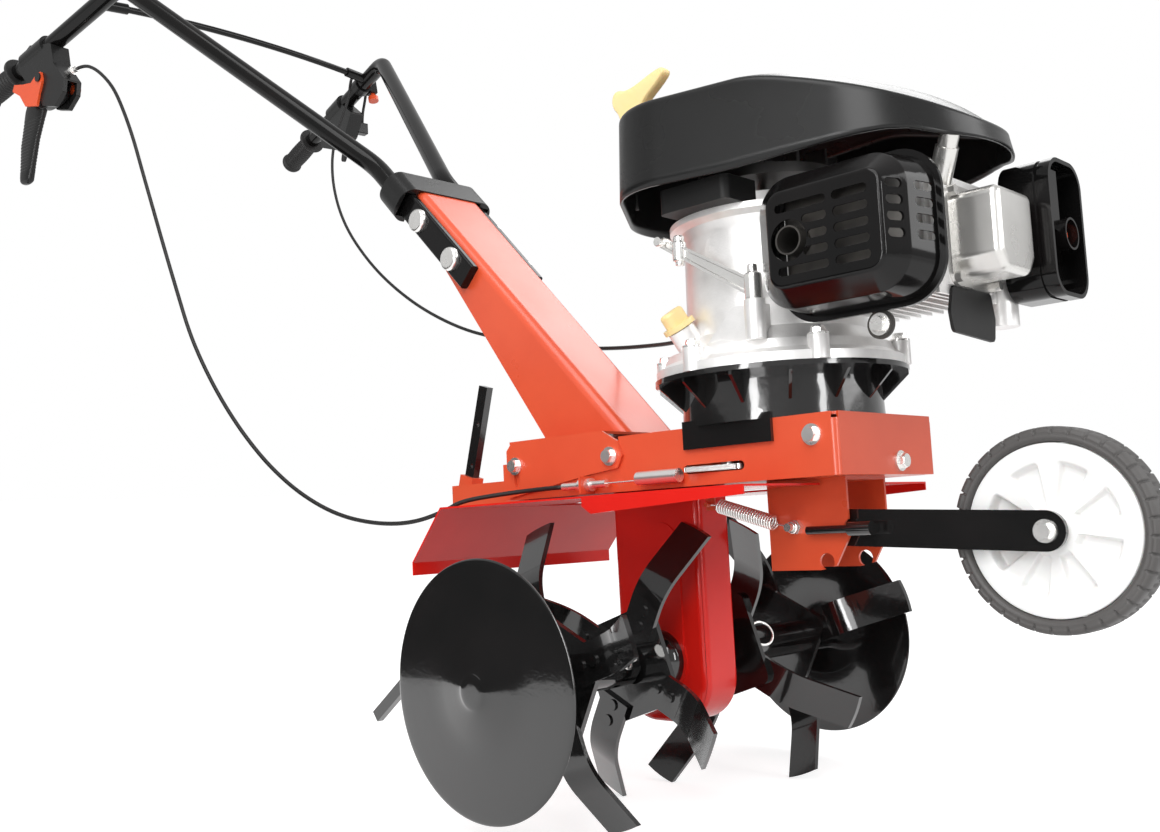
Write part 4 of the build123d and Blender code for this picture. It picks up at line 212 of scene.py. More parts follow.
def grain_group():
    """Height of a fine grain: a noise at Scale plus a second one three times finer at a third of its height."""
    group, start, end = new_group("fine_grain", [("Scale", "NodeSocketFloat", 900.0)], [("Height", "NodeSocketFloat")])
    place = group.nodes.new("ShaderNodeTexCoord")
    finer = group.nodes.new("ShaderNodeMath")
    finer.operation = "MULTIPLY"
    finer.inputs[1].default_value = FINER_GRAIN
    coarse, fine = group.nodes.new("ShaderNodeTexNoise"), group.nodes.new("ShaderNodeTexNoise")
    sum_up = group.nodes.new("ShaderNodeMath")
    sum_up.operation = "MULTIPLY_ADD"
    sum_up.inputs[1].default_value = FINER_SHARE
    link = group.links.new
    link(start.outputs["Scale"], coarse.inputs["Scale"])
    link(start.outputs["Scale"], finer.inputs[0])
    link(finer.outputs[0], fine.inputs["Scale"])
    link(place.outputs["Object"], coarse.inputs["Vector"])
    link(place.outputs["Object"], fine.inputs["Vector"])
    link(fine.outputs["Fac"], sum_up.inputs[0])
    link(coarse.outputs["Fac"], sum_up.inputs[2])
    link(sum_up.outputs[0], end.inputs["Height"])
    return group


def cloud_group():
    """A value that drifts between Low and High with a slow noise at Scale."""
    group, start, end = new_group(
        "slow_cloud",
        [("Scale", "NodeSocketFloat", 9.0), ("Low", "NodeSocketFloat", 0.3), ("High", "NodeSocketFloat", 0.4)],
        [("Value", "NodeSocketFloat")])
    place, noise = group.nodes.new("ShaderNodeTexCoord"), group.nodes.new("ShaderNodeTexNoise")
    noise.inputs["Detail"].default_value = CLOUD_DETAIL
    spread = group.nodes.new("ShaderNodeMapRange")
    spread.inputs["From Min"].default_value, spread.inputs["From Max"].default_value = CLOUD_FROM
    link = group.links.new
    link(place.outputs["Object"], noise.inputs["Vector"])
    link(start.outputs["Scale"], noise.inputs["Scale"])
    link(noise.outputs["Fac"], spread.inputs["Value"])
    link(start.outputs["Low"], spread.inputs["To Min"])
    link(start.outputs["High"], spread.inputs["To Max"])
    link(spread.outputs["Result"], end.inputs["Value"])
    return group


def tone_group():
    """Mixes a Main and an Other colour by a noise at Scale, sharpened to soft patches."""
    group, start, end = new_group(
        "tone_drift", [("Main", "NodeSocketColor", (1, 1, 1, 1)), ("Other", "NodeSocketColor", (0, 0, 0, 1)),
                       ("Scale", "NodeSocketFloat", 20.0)], [("Colour", "NodeSocketColor")])
    place, noise = group.nodes.new("ShaderNodeTexCoord"), group.nodes.new("ShaderNodeTexNoise")
    noise.inputs["Detail"].default_value = TONE_DETAIL
    ramp = group.nodes.new("ShaderNodeMapRange")
    ramp.inputs["From Min"].default_value, ramp.inputs["From Max"].default_value = TONE_FROM
    mix = group.nodes.new("ShaderNodeMix")
    mix.data_type = "RGBA"
    link = group.links.new
    link(place.outputs["Object"], noise.inputs["Vector"])
    link(start.outputs["Scale"], noise.inputs["Scale"])
    link(noise.outputs["Fac"], ramp.inputs["Value"])
    link(ramp.outputs["Result"], mix.inputs["Factor"])
    link(start.outputs["Main"], mix.inputs["A"])
    link(start.outputs["Other"], mix.inputs["B"])
    link(mix.outputs["Result"], end.inputs["Colour"])
    return group


GRAIN, CLOUD, TONE = grain_group(), cloud_group(), tone_group()
print("node groups:", [g.name for g in (GRAIN, CLOUD, TONE)])

# %% [markdown]
# ## Finishes
# Every finish is one Principled shader with the three effects in front of it. What tells powder coat from a gloss dip,
# a casting from zinc plate, or rubber from a hard moulding is the size of the grain, how deep it is, how rough the
# surface stays and whether a clear coat lies on top.

# %% Finish maker


def set_sockets(shader, sockets):
    """Plain values for a shader's sockets, named with an underscore for each blank."""
    for socket, value in sockets.items():
        shader.inputs[socket.replace("_", " ")].default_value = value


def finish(name, main, other, rough, grain, depth, tone=14.0, cloud=9.0, **sockets):
    """A material: tone drift to Base Color, slow cloud to Roughness, fine grain through a bump to Normal."""
    material = bpy.data.materials.new(name)
    material.use_nodes = True
    tree = material.node_tree
    shader = tree.nodes["Principled BSDF"]
    colour, gloss, relief = (tree.nodes.new("ShaderNodeGroup") for _ in range(3))
    colour.node_tree, gloss.node_tree, relief.node_tree = TONE, CLOUD, GRAIN
    colour.inputs["Main"].default_value = (*main, 1)
    colour.inputs["Other"].default_value = (*other, 1)
    colour.inputs["Scale"].default_value = tone
    gloss.inputs["Scale"].default_value = cloud
    gloss.inputs["Low"].default_value, gloss.inputs["High"].default_value = rough
    relief.inputs["Scale"].default_value = grain
    bump = tree.nodes.new("ShaderNodeBump")
    bump.inputs["Strength"].default_value = 1.0
    bump.inputs["Distance"].default_value = depth
    link = tree.links.new
    link(colour.outputs["Colour"], shader.inputs["Base Color"])
    link(gloss.outputs["Value"], shader.inputs["Roughness"])
    link(relief.outputs["Height"], bump.inputs["Height"])
    link(bump.outputs["Normal"], shader.inputs["Normal"])
    set_sockets(shader, sockets)
    return material


powder_red = finish("powder_red", (0.68, 0.085, 0.029), (0.63, 0.071, 0.023), (0.26, 0.36), 700, 0.00004,
                    Coat_Weight=0.25, Coat_Roughness=0.14)
gloss_red = finish("gloss_red", (0.72, 0.016, 0.010), (0.66, 0.012, 0.008), (0.16, 0.24), 160, 0.00005,
                   Specular_IOR_Level=0.3, Coat_Weight=0.15, Coat_Roughness=0.08)
gloss_black = finish("gloss_black", (0.007, 0.007, 0.007), (0.011, 0.010, 0.010), (0.08, 0.16), 140, 0.00010,
                     Specular_IOR_Level=0.4, Coat_Weight=0.75, Coat_Roughness=0.05)
satin_black = finish("satin_black", (0.010, 0.010, 0.010), (0.011, 0.011, 0.011), (0.26, 0.30), 1500, 0.00003,
                     Specular_IOR_Level=0.28)
dull_black = finish("dull_black", (0.010, 0.010, 0.010), (0.015, 0.014, 0.014), (0.46, 0.60), 1200, 0.00008,
                    Specular_IOR_Level=0.25)
tube_black = finish("tube_black", (0.004, 0.004, 0.004), (0.007, 0.006, 0.006), (0.10, 0.17), 300, 0.000006,
                    Specular_IOR_Level=0.22)
rubber_black = finish("rubber_black", (0.012, 0.012, 0.012), (0.018, 0.017, 0.017), (0.40, 0.54), 1100, 0.00006,
                      Specular_IOR_Level=0.3)
tyre_grey = finish("tyre_grey", (0.062, 0.058, 0.056), (0.078, 0.074, 0.072), (0.50, 0.64), 800, 0.00010)
cast_alloy = finish("cast_alloy", (0.92, 0.91, 0.90), (0.74, 0.73, 0.72), (0.32, 0.46), 420, 0.00014, tone=30,
                    Metallic=0.55)
zinc_plate = finish("zinc_plate", (0.90, 0.89, 0.87), (0.78, 0.77, 0.75), (0.20, 0.32), 900, 0.00003, Metallic=0.9)
pressed_steel = finish("pressed_steel", (0.68, 0.67, 0.65), (0.58, 0.57, 0.55), (0.24, 0.34), 500, 0.00003,
                       Metallic=0.85)
machined_steel = finish("machined_steel", (0.50, 0.49, 0.48), (0.38, 0.37, 0.37), (0.25, 0.36), 600, 0.00004,
                        Metallic=1.0)
# Near-black steel for the muffler: partly its own dark finish, partly painted shade for the body that sits behind the
# guard's slots.
dark_steel_with_painted_shade = finish("dark_steel_with_painted_shade", (0.050, 0.047, 0.044), (0.085, 0.078, 0.070), (0.40, 0.55), 300, 0.00008, tone=40,
                     Metallic=0.7)
white_nylon = finish("white_nylon", (0.88, 0.875, 0.865), (0.85, 0.845, 0.835), (0.30, 0.40), 700, 0.00002,
                     Subsurface_Weight=0.05)
orange_plastic = finish("orange_plastic", (0.80, 0.095, 0.022), (0.72, 0.075, 0.018), (0.26, 0.36), 900, 0.00002)
yellow_plastic = finish("yellow_plastic", (0.92, 0.70, 0.34), (0.88, 0.64, 0.27), (0.30, 0.42), 700, 0.00001,
                        Subsurface_Weight=0.1)
print("finishes:", len(bpy.data.materials))

# %% [markdown]
# ## Dressing the solids
# The solids arrive as loose triangles. A Weld modifier joins them, an Edge Split keeps every edge crisp that turns by
# more than thirty-two degrees, and a Weighted Normal lights the flat faces evenly, so sheet looks folded and castings
# look rounded. The meshes themselves stay as they are.

# %% Materials and clean shading on the solids
SHARP_FROM, EVEN_WEIGHT, WELD_REACH = radians(32), 50, 0.00001


def crisp(piece):
    """Keeps edges sharp that turn by more than a set angle, and lights flat faces evenly."""
    split = piece.modifiers.new("crisp_edges", "EDGE_SPLIT")
    split.split_angle = SHARP_FROM
    even = piece.modifiers.new("even_light", "WEIGHTED_NORMAL")
    even.weight = EVEN_WEIGHT


def dress(material, names):
    """Gives solids a finish, joins their triangles and sets smooth faces between crisp edges."""
    for name in names:
        solid = nodes[name]
        solid.data.materials.clear()
        solid.data.materials.append(material)
        solid.data.shade_smooth()
        weld = solid.modifiers.new("weld", "WELD")
        weld.merge_threshold = WELD_REACH
        crisp(solid)


dress(powder_red, ["main_frame", "tail_beam", "wheel_bracket", "column"])
dress(gloss_red, ["gear_case", "fender"])
dress(gloss_black, ["drag_stake", "wheel_arm", "tine_set_inner_right", "tine_set_inner_left", "tine_set_outer_right",
                    "tine_set_outer_left", "axle_seals", "engine_adapter"])
dress(tube_black, ["handlebar_right", "handlebar_left", "cross_brace", "muffler_guard", "air_filter"])
dress(satin_black, ["column_cap", "clutch_bracket", "throttle_housing", "throttle_lever", "stop_switch"])
dress(dull_black, ["fuel_tank", "head_shield"])
dress(rubber_black, ["drive_belt"])
dress(cast_alloy, ["engine_sump", "crankcase", "cylinder_head", "carburettor"])
dress(zinc_plate, ["hitch_pins", "wheel_axle", "handle_bolts", "frame_hardware", "engine_bolts", "idler_arm",
                   "bracket_spring"])
dress(pressed_steel, ["valve_cover", "spark_plug"])
# The muffler's dark colour is its own dark steel and also painted shade for where it sits behind the guard.
dress(dark_steel_with_painted_shade, ["muffler"])
dress(machined_steel, ["tine_shaft", "input_shaft", "crankshaft", "axle_bearings"])
dress(orange_plastic, ["clutch_latch", "clutch_button", "stop_knob", "primer_bulb"])
dress(yellow_plastic, ["oil_cap"])
print("dressed", sum(1 for n in nodes.values() if n.modifiers))

# %% [markdown]
# ## The tyre
# The small wheel has a solid tyre: a smooth band on its side, short lugs round its shoulder and a zigzag groove along
# its crown. The tread is a height on a ring: one parameter goes round the wheel and the other round the tyre's
# section, and where a groove runs the ring is a little thinner. Cutting the lugs one by one would take far longer.

# %% Tyre
WHEEL_AT = (430.0, 122.0)
WHEEL_NEAR, WHEEL_WIDTH = -17.0, 36.0
TYRE_RADIUS, RIM_RADIUS = 88.9, 75.0
TREAD_LUGS, TREAD_DEPTH, LUG_STEPS, SECTION_STEPS = 36, 2.2, 20, 80
BOX_ACROSS, BOX_OUT, SIDE_ROOM = 0.42, 0.6, 0.2
CROSS_GROOVE, RING_GROOVE, GROOVE_EDGE, ZIGZAG = 0.085, 0.07, 0.03, 0.12
LUG_FROM, LUG_EDGE, CROSS_FROM, CROSS_EDGE = 0.02, 0.12, 0.3, 0.1
SIDE_LINE, SIDE_LINE_DEPTH, SIDE_GROOVE_DEPTH = 0.07, 0.05, 0.06


def tyre_grid():
    """Round the wheel (u) and round the section (v): a squarish section, thinner by the depth where a groove runs."""
    u = whole_turn(TREAD_LUGS * LUG_STEPS)[:, None]
    v = whole_turn(SECTION_STEPS)[None, :]
    half, tall = WHEEL_WIDTH / 2 - SIDE_ROOM, (TYRE_RADIUS - RIM_RADIUS) / 2
    across, out = squared_off(np.cos(v), BOX_ACROSS), squared_off(np.sin(v), BOX_OUT)
    lug_band = np.clip((out - LUG_FROM) / LUG_EDGE, 0, 1)
    turn = u * TREAD_LUGS / (2 * np.pi) + 0.5 * (across > 0)
    gap = np.abs((turn % 1.0) - 0.5)
    shoulder = np.clip((np.abs(across) - CROSS_FROM) / CROSS_EDGE, 0, 1)
    cross_groove = np.clip((CROSS_GROOVE - gap) / GROOVE_EDGE, 0, 1) * shoulder
    zigzag = ZIGZAG * (np.abs((u * TREAD_LUGS / np.pi) % 2 - 1) * 2 - 1)
    ring_groove = np.clip((RING_GROOVE - np.abs(across - zigzag)) / GROOVE_EDGE, 0, 1)
    groove = np.maximum(cross_groove, ring_groove) * lug_band
    side_line = np.exp(-(out / SIDE_LINE) ** 2)
    radius = (TYRE_RADIUS + RIM_RADIUS) / 2 + out * tall - TREAD_DEPTH * groove
    side_in = 1 - SIDE_LINE_DEPTH * side_line - SIDE_GROOVE_DEPTH * cross_groove * lug_band
    y = WHEEL_NEAR + WHEEL_WIDTH / 2 + across * half * side_in
    return stand(np.stack([WHEEL_AT[0] + radius * np.cos(u), y, WHEEL_AT[1] + radius * np.sin(u)], -1))


tyre = skin("tread_tyre", tyre_grid(), round_u=True, round_v=True)
tyre.data.materials.append(tyre_grey)
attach(tyre, "wheel")
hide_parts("tyre")
print("tyre faces", len(tyre.data.polygons))

# %% [markdown]
# ## The wheel's rim
# The rim is one white moulding: a broad smooth ring, a hub, and eight wide spokes that stand out between wedge-shaped
# hollows. Both faces are one height over a polar grid: a base line along the radius, less a hollow that is deep where
# the radius lies between hub and ring and the angle lies between two spokes. Moulded edges are soft, and a smooth
# step gives them that without a single cut.

# %% Rim
SPOKES, HOLLOW_DEPTH = 8, 8.0
HOLLOW_IN, HOLLOW_OUT, HOLLOW_SHARE = 23.0, 57.0, 0.52
FACE_RADII = (6.3, 14.5, 18.0, 23.0, 53.0, 59.0, 66.0, 72.0, 74.7)
FACE_DEPTHS = (0.4, 0.5, 2.4, 5.6, 6.4, 4.6, 3.3, 3.2, 4.4)
HOLLOW_EDGE, SPOKE_EDGE = 5.0, 0.16
SPOKE_STEPS, FACE_STEPS, SMOOTHING, SMOOTH_OVER = 40, 76, 9, 2


def rim_grid():
    """Round the wheel (u), then out along the near face and back along the far one (v), with hollows in both."""
    u = whole_turn(SPOKES * SPOKE_STEPS)[:, None]
    r = np.linspace(FACE_RADII[0], FACE_RADII[-1], FACE_STEPS)[None, :]
    wider = np.linspace(FACE_RADII[0] - SMOOTH_OVER, FACE_RADII[-1] + SMOOTH_OVER, FACE_STEPS + SMOOTHING - 1)
    base = np.convolve(np.interp(wider, FACE_RADII, FACE_DEPTHS), np.ones(SMOOTHING) / SMOOTHING, "valid")[None, :]
    wedge = np.abs((u * SPOKES / (2 * np.pi)) % 1.0 - 0.5) * 2
    hollow = soft_step((HOLLOW_SHARE + SPOKE_EDGE / 2 - wedge) / SPOKE_EDGE)
    hollow = hollow * soft_step((r - HOLLOW_IN + HOLLOW_EDGE / 2) / HOLLOW_EDGE)
    hollow = hollow * soft_step((HOLLOW_OUT + HOLLOW_EDGE / 2 - r) / HOLLOW_EDGE)
    depth = base + HOLLOW_DEPTH * hollow
    near, far = WHEEL_NEAR + depth, WHEEL_NEAR + WHEEL_WIDTH - depth
    radius = np.hstack([r, r[:, ::-1]]) + 0 * u
    y = np.hstack([near, far[:, ::-1]])
    return stand(np.stack([WHEEL_AT[0] + radius * np.cos(u), y, WHEEL_AT[1] + radius * np.sin(u)], -1))


rim = skin("spoked_rim", rim_grid(), round_u=True, round_v=True)
rim.data.materials.append(white_nylon)
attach(rim, "wheel")
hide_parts("wheel_rim")
print("rim faces", len(rim.data.polygons))

# %% [markdown]
# ## The plant discs
# Two thin dished discs end the tine shaft and keep the soil off the plants beside it. They are turned shapes: a raised
# middle, a shallow cone and a rolled rim, so one profile carried round the axle gives the whole disc.

# %% Discs
DISC_Y = 289.0
DISC_FACES = ((0.01, 9.0), (14, 9.0), (19, 6.6), (38, 3.2), (58, 0.0), (90, -1.0), (118, -2.0), (121.4, -3.0),
              (121.4, -4.2), (118, -4.4), (58, -2.6), (38, 0.8), (22, 3.3), (0.01, 3.4))


def disc_grid(side):
    """Profile of the disc's two faces, as (radius, distance from the middle plane), carried round the axle."""
    profile = rounded(DISC_FACES, steps=5)
    profile[:, 1] = side * (profile[:, 1] + DISC_Y)
    return stand(turned(profile, (0, 0, 0), (0, 1, 0), 160))


for side, word in ((-1, "right"), (1, "left")):
    piece = skin("plant_disc_" + word, disc_grid(side), round_u=True)
    piece.data.materials.append(gloss_black)
    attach(piece, "rotor")
    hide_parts("plant_discs")
print("disc faces", len(piece.data.polygons))

# %% [markdown]
# ## The grips
# Black rubber grips cover the tubes' ends: a flange in front, rings along the hand, and a bead at the end. The rings
# are a ripple on a turned profile.

# %% Grips
HANDLE_APEX, HANDLE_END = np.array((-792.0, 237.6, 976.6)), np.array((-1162.0, 288.6, 898.5))
GRIP_LENGTH, GRIP_RADIUS, GRIP_FLANGE, TUBE_RADIUS = 96.0, 17.0, 24.0, 13.0
RING_PITCH, RING_HEIGHT, BELLY, BELLY_AT, BELLY_REACH = 6.5, 0.9, 0.8, 54.0, 60.0


def grip_grid(side):
    """Radius along the grip: flange, a barrel with a fine ripple, a bead and a closed end, turned about the tube."""
    mirror = np.array((1, side, 1))
    apex, end = HANDLE_APEX * mirror, HANDLE_END * mirror
    way = (end - apex) / np.linalg.norm(end - apex)
    along = np.linspace(12, GRIP_LENGTH - 6, 120)
    barrel = GRIP_RADIUS - RING_HEIGHT + RING_HEIGHT * np.cos(along * 2 * np.pi / RING_PITCH)
    barrel = barrel + BELLY * np.cos((along - BELLY_AT) * np.pi / BELLY_REACH)
    front = rounded([(TUBE_RADIUS + 0.2, 0), (GRIP_FLANGE, 0), (GRIP_FLANGE, 4.5), (19.5, 7), (17.2, 12)])
    rear = rounded([(17, GRIP_LENGTH - 5), (19.4, GRIP_LENGTH - 4), (19.4, GRIP_LENGTH), (17, GRIP_LENGTH + 4.8),
                    (0.01, GRIP_LENGTH + 4.9)])
    profile = np.vstack([front, np.stack([barrel, along], -1), rear])
    return stand(turned(profile, end - way * GRIP_LENGTH, way, 64))


for side, word in ((-1, "right"), (1, "left")):
    piece = skin("grip_" + word, grip_grid(side), round_u=True)
    piece.data.materials.append(rubber_black)
    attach(piece, "column")
    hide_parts("grips")
print("grip faces", len(piece.data.polygons))

# %% [markdown]
# ## The recoil cover
# The big black moulding on top of the engine hides the flywheel and the starter. Its plan is round at the back and
# drawn out to the front, its wall is steep, and its crowned roof falls away over the cylinder. Rings of the plan, each
# a little further in and higher than the last, make the whole skin: up the wall, over a small rounded edge and in to
# the middle. A Solidify modifier gives it the thickness of a moulding.

# %% Recoil cover
COVER_LOW, COVER_TOP, COVER_WALL = 468.0, 550.0, 3.0
PLAN_CIRCLES = np.array(((85.0, 0.0, 91.0), (120.0, -88.0, 68.5), (120.0, 88.0, 68.5), (275.0, 10.0, 130.0)))
ROOF_BREAK, ROOF_FALL = 215.0, 0.0264
CROWN, CROWN_GAIN, CROWN_FROM, CROWN_TO = 14.0, 10.0, 270.0, 370.0
REACH_REAR, REACH_FRONT, REACH_FROM, REACH_OVER = 45.0, 85.0, 230.0, 100.0
ARCH_X, ARCH_RISE = (-40.0, 205.0, 350.0, 365.0, 385.0, 430.0), (0.0, 0.0, 10.3, 9.6, 4.0, 4.0)
EDGE_RADIUS, WALL_LEAN, COVER_MIDDLE = 8.0, 5.0 / 123.0, np.array((205.0, 3.0))
PLAN_ANGLES, PLAN_STEPS, WALL_ROWS, EDGE_ROWS, ROOF_ROWS, ROOF_DEGREES = 1440, 320, 9, 8, 34, 3


def plan_reach(ways):
    """How far the plan reaches in each direction: the largest reach of the circles that span it."""
    return ways @ PLAN_CIRCLES[:, :2].T + PLAN_CIRCLES[:, 2]


def plan_line(count):
    """Points spaced evenly along the plan's edge, with their outward normals."""
    a = whole_turn(PLAN_ANGLES)
    ways = np.stack([np.cos(a), np.sin(a)], -1)
    circle = PLAN_CIRCLES[plan_reach(ways).argmax(1)]
    edge = np.concatenate([circle[:, :2] + circle[:, 2:] * ways, ways], 1)
    edge = np.vstack([edge, edge[:1]])
    run = np.concatenate([[0], np.cumsum(np.linalg.norm(np.diff(edge[:, :2], axis=0), axis=1))])
    s = np.linspace(0, run[-1], count, endpoint=False)
    line = np.stack([np.interp(s, run, edge[:, k]) for k in range(4)], -1)
    return line[:, :2], line[:, 2:] / np.linalg.norm(line[:, 2:], axis=1, keepdims=True)


def roof(x, y):
    """Height of the roof: an edge that falls to the front, plus a crown that rises with the depth inside the plan."""
    a = np.radians(np.arange(0, 360, ROOF_DEGREES))
    ways = np.stack([np.cos(a), np.sin(a)], -1)
    depth = (plan_reach(ways).max(-1) - np.stack([x, y], -1) @ ways.T).min(-1)
    depth = depth / (REACH_REAR + (REACH_FRONT - REACH_REAR) * soft_step((x - REACH_FROM) / REACH_OVER))
    edge = COVER_TOP - ROOF_FALL * np.maximum(0, x - ROOF_BREAK) ** 1.5
    crown = CROWN + CROWN_GAIN * np.clip((x - CROWN_FROM) / (CROWN_TO - CROWN_FROM), 0, 1)
    return edge + crown * np.where(depth < 0, 2 * depth, 1 - (1 - np.minimum(depth, 1)) ** 2)


def cover_grid():
    """Round the plan (u) and up the wall, over the rounded edge and in to the middle (v)."""
    rim_line, normal = plan_line(PLAN_STEPS)
    a = np.linspace(0, np.pi / 2, EDGE_ROWS)
    lean_in = WALL_LEAN * (COVER_TOP - COVER_LOW)
    inset = np.concatenate([np.linspace(0, lean_in, WALL_ROWS), lean_in + EDGE_RADIUS * (1 - np.cos(a[1:]))])
    drop = np.concatenate([np.full(WALL_ROWS, EDGE_RADIUS), EDGE_RADIUS * (1 - np.sin(a[1:]))])
    share = np.concatenate([np.linspace(0, 1, WALL_ROWS), np.ones(EDGE_ROWS - 1)])
    ring = rim_line[:, None, :] - inset[None, :, None] * normal[:, None, :]
    low = COVER_LOW + np.interp(ring[:, :1, 0], ARCH_X, ARCH_RISE)
    top_ring = rim_line[:, None, :] - (lean_in + EDGE_RADIUS) * normal[:, None, :]
    top = roof(top_ring[..., 0], top_ring[..., 1]) - drop
    z = low + (top - low) * share
    wall = np.concatenate([ring, z[..., None]], -1)
    s = np.linspace(0, 1, ROOF_ROWS)[1:-1]
    inner = COVER_MIDDLE + (ring[:, -1:, :] - COVER_MIDDLE) * (1 - s)[None, :, None]
    crown = np.concatenate([inner, roof(inner[..., 0], inner[..., 1])[..., None]], -1)
    return stand(np.concatenate([wall, crown], 1))


cover = skin("starter_cover", cover_grid().transpose(1, 0, 2), round_v=True, cap_u=(False, True))
cover.data.materials.append(satin_black)
thick = cover.modifiers.new("wall", "SOLIDIFY")
thick.thickness = COVER_WALL / 1000
thick.offset = -1
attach(cover, "frame")
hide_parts("recoil_cover")
print("cover faces", len(cover.data.polygons))

# %% [markdown]
# ## The starter handle
# The pull handle is a flat yellow moulding: a foot on the cover, a long arm for the fingers and a short one behind.
# Its outline is drawn with straight runs, whose corners are cut again and again until the line is smooth. Rings of
# that line, pulled in and out over a quarter circle on each side, round the moulding's edges.

# %% Starter handle
STARTER_AT, STARTER_RISE, HANDLE_HALF, HANDLE_ROUND, SIDE_PULL = (44.0, -78.0), 2.5, 7.0, 5.0, 0.6
HANDLE_LINE = ((-11, 0), (11, 0), (14, 23), (50, 47), (52, 55), (44, 59), (0, 45), (-16, 51), (-23, 43), (-22, 31),
               (-13, 21))
ROPE_LOW, ROPE_TOP, ROPE_RADIUS, ROPE_ROWS = 476.0, 562.0, 2.0, 12


def carried(path, radii, count=28, up=(0.0, 1.0, 0.0)):
    """A round section carried along a path: the circle's two axes are the path's normal and the one square to both."""
    path = np.asarray(path, float)
    along = np.gradient(path, axis=0)
    along = along / np.linalg.norm(along, axis=1, keepdims=True)
    side = np.cross(along, np.asarray(up, float))
    side = side / np.linalg.norm(side, axis=1, keepdims=True)
    other = np.cross(side, along)
    t = whole_turn(count)[None, :, None]
    r = np.asarray(radii, float)[:, None, None]
    return path[:, None] + r * (np.cos(t) * side[:, None] + np.sin(t) * other[:, None])


def cut_corners(points, rounds):
    """A closed line whose every run keeps its middle half, round after round, until the corners are smooth."""
    points = np.asarray(points, float)
    for _ in range(rounds):
        after = np.roll(points, -1, 0)
        points = np.stack([0.75 * points + 0.25 * after, 0.25 * points + 0.75 * after], 1).reshape(-1, 2)
    return points


def moulding(outline, half, edge):
    """Across the thickness (u) and round the outline (v): pulled in along its normals where a side is rounded off."""
    line = cut_corners(outline, 3)
    along = np.roll(line, -1, 0) - np.roll(line, 1, 0)
    inward = np.stack([-along[:, 1], along[:, 0]], -1) / np.linalg.norm(along, axis=1, keepdims=True)
    a = np.linspace(0, np.pi / 2, 8)
    pull = edge * (1 - np.sin(a))
    across = half - edge * (1 - np.cos(a))
    pull, across = np.concatenate([pull, pull[::-1]]), np.concatenate([across, -across[::-1]])
    flat = line[None] + SIDE_PULL * pull[:, None, None] * inward[None]
    return flat[..., 0], flat[..., 1], across[:, None] + 0 * flat[..., 0]


x, z, y = moulding(HANDLE_LINE, HANDLE_HALF, HANDLE_ROUND)
seat = float(roof(np.float64(STARTER_AT[0]), np.float64(STARTER_AT[1]))) + STARTER_RISE
handle_grid = stand(np.stack([STARTER_AT[0] + x, STARTER_AT[1] + y, seat + z], -1))
handle = skin("pull_handle", handle_grid, round_v=True, cap_u=(True, True))
handle.data.materials.append(yellow_plastic)
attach(handle, "starter_handle")
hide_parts("starter_handle")
rope_path = np.array([(*STARTER_AT, height) for height in np.linspace(ROPE_LOW, ROPE_TOP, ROPE_ROWS)])
rope_grid = stand(carried(rope_path, np.full(ROPE_ROWS, ROPE_RADIUS), 12))
rope = skin("pull_rope", rope_grid, round_v=True, cap_u=(True, True))
rope.data.materials.append(rubber_black)
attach(rope, "starter_handle")
print("handle faces", len(handle.data.polygons))

# %% [markdown]
# ## The clutch lever
# A soft moulded lever hangs from the clutch bracket: broad at its root, slimmer at its end, with fine ribs across
# the hand's side. Each height has a rounded section between the lever's front and rear edge, and a ripple in the
# thickness gives the ribs. The root inside the bracket is a second, plain moulding.

# %% Clutch lever
CONTROL_AT = 159.0
LEVER_HALF, RIB_DEPTH, RIB_PITCH, RIB_SPAN = 7.0, 0.45, 5.0, (750.0, 832.0)
LEVER_LOW, LEVER_ROUND, LEVER_TOP, LEVER_BOX, ROOT_ROUND = 731.0, 742.0, 860.0, 0.72, 2.0
END_ROWS, LEVER_ROWS, LEVER_SIDES = 12, 130, 48
LEVER_REAR = ((731, -111), (732.5, -115), (736, -117.5), (742, -118.5), (792, -116), (846, -102), (862, -92))
LEVER_FRONT = ((731, -97), (732.5, -93), (736, -90), (742, -88), (797, -70), (834, -51), (846, -44), (862, -44))
LEVER_ROOT = ((6, 846), (5, 858), (-6, 864), (-16, 858), (-40, 858), (-58, 860), (-62, 850), (-56, 840), (-40, 836),
              (-4, 840))


def on_control_plane(x, z, y):
    """Points of the clutch's upright plane: x forward along the handle, z up, y out to the right."""
    apex, end = HANDLE_APEX * (1, -1, 1), HANDLE_END * (1, -1, 1)
    way = (end - apex) / np.linalg.norm(end - apex)
    origin = (apex + way * CONTROL_AT) * (1, 1, 0)
    forward = -way * (1, 1, 0)
    forward = forward / np.linalg.norm(forward)
    outward = np.cross(forward, (0, 0, 1))
    return stand(origin + x[..., None] * forward + y[..., None] * outward + z[..., None] * np.array((0, 0, 1.0)))


def lever_grid():
    """Height (u) and turn (v): a rounded box between rear and front edge, its thickness rippled where the hand lies."""
    end = LEVER_LOW + (LEVER_ROUND - LEVER_LOW) * np.linspace(0, 0.95, END_ROWS) ** 2
    z = np.concatenate([end, np.linspace(LEVER_ROUND, LEVER_TOP, LEVER_ROWS)])
    rear, front = (np.interp(z, *np.transpose(edge)) for edge in (LEVER_REAR, LEVER_FRONT))
    middle, half = (rear + front) / 2, (front - rear) / 2
    thick = LEVER_HALF * np.clip((z - LEVER_LOW + 1.5) / 6, 0.2, 1) ** 0.5
    on_ribs = np.clip((z - RIB_SPAN[0]) / 4, 0, 1) * np.clip((RIB_SPAN[1] - z) / 4, 0, 1)
    thick = thick - on_ribs * RIB_DEPTH * (1 - np.cos(2 * np.pi * z / RIB_PITCH))
    t = whole_turn(LEVER_SIDES)
    across, out = squared_off(np.cos(t), LEVER_BOX), squared_off(np.sin(t), LEVER_BOX)
    return on_control_plane(middle[:, None] + half[:, None] * across, z[:, None] + 0 * t, thick[:, None] * out)


